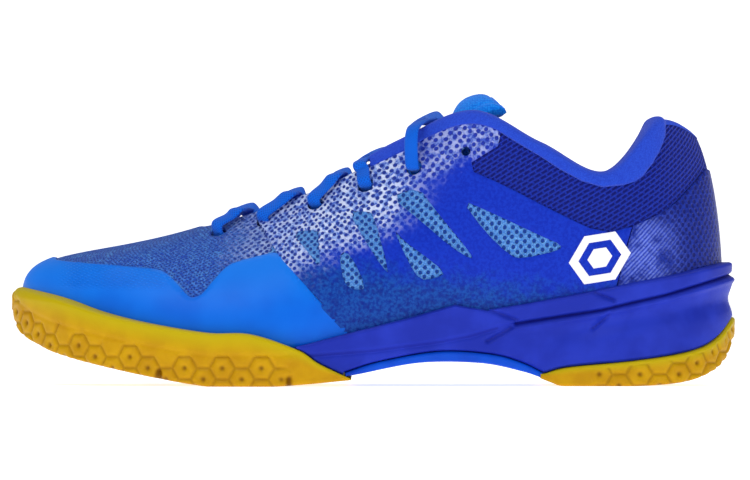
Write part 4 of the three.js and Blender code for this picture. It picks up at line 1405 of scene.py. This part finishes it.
# Under the corner and the strap, where the light mesh ends and the ribbed collar mesh begins.
MESH_LINE = [(49, 97.4), (36.8, 90), (37.6, 84), (42.5, 79.5), (56, 72), (72, 64), (82, 57.5), (85, 49),
             (85, 20)]
STRAP_LINE = [(40.0, 85.2), (52.2, 79.9), (72, 69.5), (90.9, 60.6), (103.0, 63.4)]
HEEL_EDGE = [(96.5, 36), (97.5, 41), (99.7, 50.6), (103.5, 63.6)]
HEEL_TOP_LINE = [(103.5, 63.6), (117.8, 70.1), (128, 80.3), (133.5, 86.5)]
SEAM = [(5.1, 90.1), (13.4, 94), (20.6, 98.4), (29.9, 103.2), (36, 105.6), (42.5, 105.0), (47.3, 103.0),
        (57, 96.9), (66.8, 91.1), (74.5, 86.0), (83, 81.5), (91.2, 79.1), (99.4, 79.9), (104, 81.3),
        (107.5, 83.6), (111.6, 88.9), (114, 93), (115.7, 97.9), (116.6, 101.5)]


def edge_line(from_u, to_u, v, step=0.003):
    """(u, v) points at one v."""
    count = max(2, int(abs(to_u - from_u) / step))
    return np.column_stack([np.linspace(from_u, to_u, count), np.full(count, v)])


def film_outline(side):
    """The side film: from the guard up to the laces, along the strap to the heel, and back."""
    front = side_path(FRONT_LINE, side)
    corner = side_path(CORNER_LINE, side)
    strap = side_path(STRAP_LINE, side, rounds=1)
    heel = side_path([(103.0, 63.4), (99.2, 50.6), (97.0, 41), (96, 36)], side)
    throat = edge_line(front[-1][0], corner[0][0], THROAT_TOP)
    foot = edge_line(heel[-1][0], station(4.3, side), SOLE_LINE)
    rise = side_path([(-20, 33), (-37, 51.5)], side)
    return np.vstack([front[:-1], throat, corner[1:-1], strap, heel[1:], foot, rise[:-1]])


def make_films(guard, film, heel):
    add_panel("toe_guard_film", [guard_outline()], GUARD, guard, "azure_film", ["toe_guard"],
              step=1.6, bevel=0.7, bevel_width=1.5)
    for side, word in SIDES:
        windows = [side_path(window, side, 1.5, 1, True) for window in WINDOWS]
        loops = [film_outline(side), *windows, *eyelet_holes(side, EYELETS[2:])]
        add_panel(f"side_film_{word}_cut", loops, FILM, film, "violet_film", [f"side_film_{word}"],
                  step=1.6)
    lateral, medial = [
        np.vstack([side_path(HEEL_EDGE, side), side_path(HEEL_TOP_LINE, side, rounds=1)[1:]])
        for side in (LATERAL, MEDIAL)]
    back = edge_line(lateral[-1][0], medial[-1][0], lateral[-1][1])[1:-1]
    foot = edge_line(medial[0][0], lateral[0][0], SOLE_LINE)
    outline = np.vstack([lateral, back, medial[::-1], foot])
    add_panel("heel_film_cut", [outline], FILM, heel, "violet_film", ["heel_film"], step=1.6)


def make_meshes(vamp_material, window_material, collar_material):
    """The cloth under the film: vamp, quarters and the ribbed collar."""
    throat, collar = 0.995, 0.997
    split = station(3.5, LATERAL)
    outline = np.vstack([edge_line(-split, split, SOLE_LINE), edge_line(split, -split, throat)])
    holes = eyelet_holes(LATERAL, EYELETS[:2])
    holes += [wrapped(hole) for hole in eyelet_holes(MEDIAL, EYELETS[:2])]
    add_panel("vamp_mesh", [outline, *holes], MESH, vamp_material, "upper_mesh", ["vamp"], step=1.8)
    for side, word in SIDES:
        corner = side_path(MESH_LINE, side)
        front = station(3.5, side)
        back = corner[-1][0]
        outline = np.vstack([
            edge_line(front, back, SOLE_LINE)[:-1], [[back, SOLE_LINE]], corner[::-1][1:],
            edge_line(corner[0][0], front, throat),
        ])
        add_panel(f"quarter_{word}_mesh", [outline, *eyelet_holes(side, EYELETS[2:])], MESH,
                  window_material, "upper_mesh", [f"quarter_{word}"], step=2.0)
    lateral = side_path(MESH_LINE, LATERAL)
    medial = side_path(MESH_LINE, MEDIAL)
    outline = np.vstack([
        lateral[::-1], edge_line(lateral[0][0], medial[0][0], collar)[1:-1], medial,
        edge_line(medial[-1][0], lateral[-1][0], SOLE_LINE)[1:-1],
    ])
    add_panel("collar_mesh_rib", [outline], MESH, collar_material, "collar_mesh", ["collar_mesh"],
              step=2.0)


# ---- linings and collar ----
def foam_thickness(u, v):
    """How far the collar's padding holds the lining off the wall, as in the CAD."""
    column = np.mod(u, 1) * 40
    front = smoothstep(np.minimum(column - 12, 28 - column), 0, 3)
    return FOAM_DEPTH * front * smoothstep(v, 5.6 / 9, 7.5 / 9)


def make_linings(look):
    panels = {
        "vamp_lining": (-0.1745, 0.1745, 0.66),
        "lining_lateral": (0.1755, 0.2992, 0.66),
        "lining_medial": (0.7008, 0.8245, 0.66),
        "rear_lining": (0.3008, 0.6992, 0.985),
    }
    for name, (first, last, top) in panels.items():
        us = np.linspace(first, last, max(8, int((last - first) * 300)))
        vs = np.linspace(0.005, top, 44)
        outer, inner = [lambda u, v, d=d: d + foam_thickness(u, v) for d in LINING]
        piece = make_piece(name + "_cloth", *grid_shell(us, vs, outer, inner))
        finish_piece(piece, look, [name])


def seam_height(u, side):
    """The v of the band's lower seam at each u of one side."""
    path = at_side(spaced(SEAM, 1.5, False), side)
    order = np.argsort(path[:, 0])
    return np.interp(u, path[order, 0], path[order, 1])


COLLAR_FRONT = 4.62  # the station where the band begins
TAB = (9.02, 9.12)  # the stations over which it narrows to the heel tab
HIGHEST_SEAM, TAB_SEAM = 0.972, 0.986  # v of the seam: at most elsewhere, and at the tab


def make_collar(look):
    """The soft band that closes the collar's edge: wide behind the ankle, a roll elsewhere."""
    u = np.linspace(COLLAR_FRONT, COUNT - COLLAR_FRONT, 420) / COUNT
    side = np.where(u < 0.5, LATERAL, MEDIAL)
    seam = np.where(side < 0, seam_height(u, LATERAL), seam_height(u, MEDIAL))
    tab_start, tab_full = TAB
    tab = (smoothstep(u, tab_start / COUNT, tab_full / COUNT)
           * (1 - smoothstep(u, (COUNT - tab_full) / COUNT, (COUNT - tab_start) / COUNT)))
    seam = np.minimum(seam, HIGHEST_SEAM)
    seam = seam + (TAB_SEAM - seam) * tab
    column = u * 40
    inner = 5.2 + foam_thickness(u, np.ones_like(u))
    padded = (column >= 12) & (column <= 28)
    inner = np.where(padded, inner, 3.9 + 1.3 * smoothstep(column, 11, 12) * (u < 0.5)
                     + 1.3 * smoothstep(-column, -29, -28) * (u > 0.5))
    out_steps, roll_steps, in_steps = 12, 14, 6
    height = 3.3 - 1.5 * tab
    crown_full = np.minimum(1.3, (1 - seam) * 60 * 0.10 + 0.35) * (1 - tab)
    loop = []
    for s in np.linspace(0, 1, out_steps):
        v = seam + (1 - seam) * s
        crown = crown_full * np.sqrt(max(0.0, 1 - (1 - min(1, s * 1.6)) ** 2))
        loop.append(under(u, v, 0.5 + 0.2 * tab - 0.9 * (1 - tab) * min(1, s * 12) - crown))
    _, up, normal = directions(upper_point, u, np.ones_like(u))
    outer_depth = -0.4 - crown_full + 1.1 * tab
    middle = (outer_depth + inner + 0.6) / 2
    half = (inner + 0.6 - outer_depth) / 2
    edge = upper_point(u, np.ones_like(u))
    for angle in np.linspace(0, math.pi, roll_steps)[1:-1]:
        depth = middle - half * math.cos(angle)
        lift = height * math.sin(angle) ** 0.8
        loop.append(edge - normal * depth[:, None] + up * lift[:, None])
    for s in np.linspace(0, 1, in_steps):
        loop.append(under(u, 1 - 0.06 * s, inner + 0.6 - 0.4 * s))
    for v in (0.945, 0.975, 1.0):
        loop.append(under(u, v, inner * 0.55 - 0.2))
    loop.append(under(u, 1.0, 1.5))
    loop.append(under(u, (seam + 1) / 2, 0.75))
    loop = np.stack(loop, 1)
    sides = loop.shape[1]
    length = np.interp(u, RING_U, RING_LENGTH)
    across = np.linspace(0, 40, sides)
    flat = np.stack(np.broadcast_arrays(length[:, None], across[None]), -1).reshape(-1, 2) * MM
    piece = make_piece("collar_band", loop.reshape(-1, 3), tube_faces(len(u), sides), flat, 50)
    finish_piece(piece, look, ["collar_binding"])


# ---- tongue ----
TONGUE_LINE = np.array([
    [-78, 0, 51], [-66, 0, 54.5], [-52, 0, 60.5], [-38, 0, 67], [-18, 0, 75.5], [8, 0, 88], [29.5, 0, 101],
])
TONGUE_ARCH = 0.034
TONGUE_LAYERS = {"tongue_face": (0, 1), "tongue_lining": (4.9, 5.6)}
TOP_HINGE = np.array([29.9, 0, 101.4])
TOP_TILT = math.radians(45)
TOP_LENGTH, TOP_HALF_WIDTH, TOP_THICK = 23, 18, 11.5
TOP_CROWN, TOP_ARCH = 5.0, 0.03


def tongue_point(s, w):
    """The tongue's upper face: s runs up the throat, w across from -Y to +Y."""
    p = path_point(TONGUE_LINE, s)
    half = 13 + 10 * smoothstep(s, 0, 0.5) - 6 * smoothstep(s, 0.72, 0.95)
    y = (2 * w - 1) * half
    return np.stack([p[..., 0], y, p[..., 2] - TONGUE_ARCH * y * y], -1)


def tongue_top_point(s, w):
    """The padded top's upper face, from its seam on the tongue up and back."""
    y = (2 * w - 1) * TOP_HALF_WIDTH * (1 - 0.12 * s * s)
    crown = TOP_CROWN * np.sin(math.pi * np.clip(s, 0, 1))
    x = GAP + TOP_LENGTH * s
    z = crown - TOP_ARCH * y * y
    turned_x = x * math.cos(TOP_TILT) - z * math.sin(TOP_TILT)
    turned_z = x * math.sin(TOP_TILT) + z * math.cos(TOP_TILT)
    return np.stack([turned_x, y, turned_z], -1) + TOP_HINGE


def make_tongue(face, lining, top):
    along = np.linspace(0, 1, 110)
    across = np.linspace(0, 1, 40)
    for (name, (outer, inner)), look, slot in zip(
            TONGUE_LAYERS.items(), (face, lining), ("tongue_cloth", "lining")):
        piece = make_piece(name + "_cloth", *grid_shell(along, across, outer, inner, tongue_point))
        finish_piece(piece, look, [name])

    def drawn_in(s, w):
        rim = np.minimum(np.minimum(s, 1 - s) * 6, np.minimum(w, 1 - w) * 9)
        return 1.6 * (1 - np.sqrt(1 - (1 - np.clip(rim, 0, 1)) ** 2))

    def outer(s, w):
        channel = 0.5 * bell(np.abs(2 * w - 1) - 0.78, 0.05) * smoothstep(s, 0, 0.1)
        return 1.2 * s ** 6 + drawn_in(s, w) + channel

    def inner(s, w):
        deep = 3.6 * s ** 6 + (TOP_THICK - 4.2 * s ** 5) * (1 - 0.55 * (2 * w - 1) ** 4)
        return deep - drawn_in(s, w)

    steps = 0.5 - 0.5 * np.cos(np.linspace(0, math.pi, 48))
    piece = make_piece("tongue_top_pad", *grid_shell(steps, steps, outer, inner, tongue_top_point), sharp=60)
    finish_piece(piece, top, ["tongue_top"], "tongue_top")


def make_insole(look):
    piece = sole_body(
        "insole_cloth", -INSOLE_INSET, (-146, 146), lambda x: bed_height(x) + BOARD + 2 * GAP, insole_top,
        step=2.0, levels=6, across=24, rounding=0.8, cup=False)
    finish_piece(piece, look, ["insole"], "insole")


# ---- badge ----
BADGE_CENTRE = (90.1, 51.0)
BADGE_STRETCH, BADGE_LEAN = 1.12, 0.16  # in a side view it is a little wide and sheared
RING_RADII, CORE_RADIUS = (11.0, 7.6), 4.4
PRINT = (-0.22, 0.02)  # depths of the print, as of the layers above


def hexagon(radius, side):
    """A hexagon's outline about the badge's middle, on the shoe's side."""
    made = []
    for k in range(6):
        angle = math.radians(60 * k)
        x = BADGE_CENTRE[0] + radius * math.cos(angle) * BADGE_STRETCH
        z = BADGE_CENTRE[1] + radius * math.sin(angle) + BADGE_LEAN * (x - BADGE_CENTRE[0])
        made.append((x, z))
    return side_path(made, side, 1.0, 0, True)


def make_badges(look):
    """A plain hexagonal ring with a core, printed on the film."""
    for side, word in SIDES:
        ring = [hexagon(radius, side) for radius in RING_RADII]
        for part, loops, node in (("ring", ring, [f"badge_{word}"]),
                                  ("core", [hexagon(CORE_RADIUS, side)], [])):
            add_panel(f"badge_{word}_{part}", loops, PRINT, look, "white_print", node,
                      step=1.0, bevel=0.08, bevel_width=0.3)


def dress_hidden_nodes():
    """Materials for the inner CAD pieces that are shown as they are."""
    board = plain_look("fibre_board", rgb(222, 214, 196), rgb(190, 180, 158), 1.2 * MM, 0.06 * MM, 0.9)
    foam = plain_look("open_foam", rgb(58, 60, 66), rgb(28, 29, 33), 0.8 * MM, 0.15 * MM, 0.95)
    cushion = plain_look("cushion_foam", rgb(235, 236, 240), rgb(208, 210, 218), 1.0 * MM, 0.08 * MM, 0.7)
    stay = cloth_look("eyestay_tape", rgb(34, 48, 150), rgb(18, 26, 104))
    looks = {
        board: ["lasting_board", "toe_puff", "heel_counter"],
        foam: ["collar_foam", "tongue_foam"],
        cushion: ["forefoot_cushion", "heel_cushion"],
        stay: ["eyestay_lateral", "eyestay_medial"],
    }
    for look, names in looks.items():
        for name in names:
            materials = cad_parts[name].data.materials
            materials.clear()
            materials.append(look)


make_camera()
make_stage()
lace_material = lace_look()
make_tails(lace_material, film_look("lace_tip", rgb(20, 130, 245), rgb(0, 96, 220)))
make_lace(lace_material)
make_soles(
    rubber_look(),
    foam_look("midsole_foam", rgb(33, 53, 180), rgb(25, 43, 162)),
    film_look("shank_plastic", rgb(2, 80, 206), rgb(2, 56, 180)),
)
make_films(
    film_look("azure_film", rgb(0, 104, 222), rgb(0, 92, 210), dashes=True),
    side_film_look(),
    heel_film_look(),
)
make_meshes(vamp_look(), window_look(), collar_mesh_look())
lining_material = cloth_look("lining_cloth", rgb(44, 66, 196), rgb(22, 32, 130))
make_linings(lining_material)
make_collar(cloth_look("collar_binding_cloth", rgb(42, 82, 210), rgb(34, 64, 188), 0.5 * MM))
tongue_material = cloth_look("tongue_cloth", rgb(20, 146, 248), rgb(0, 108, 224), 1.0 * MM)
make_tongue(tongue_material, lining_material, tongue_material)
make_insole(cloth_look("insole_cloth", rgb(36, 56, 176), rgb(20, 30, 116)))
make_badges(plain_look("white_print", rgb(248, 248, 250), rgb(236, 236, 242), 0.8 * MM, 0.01 * MM, 0.45))
dress_hidden_nodes()
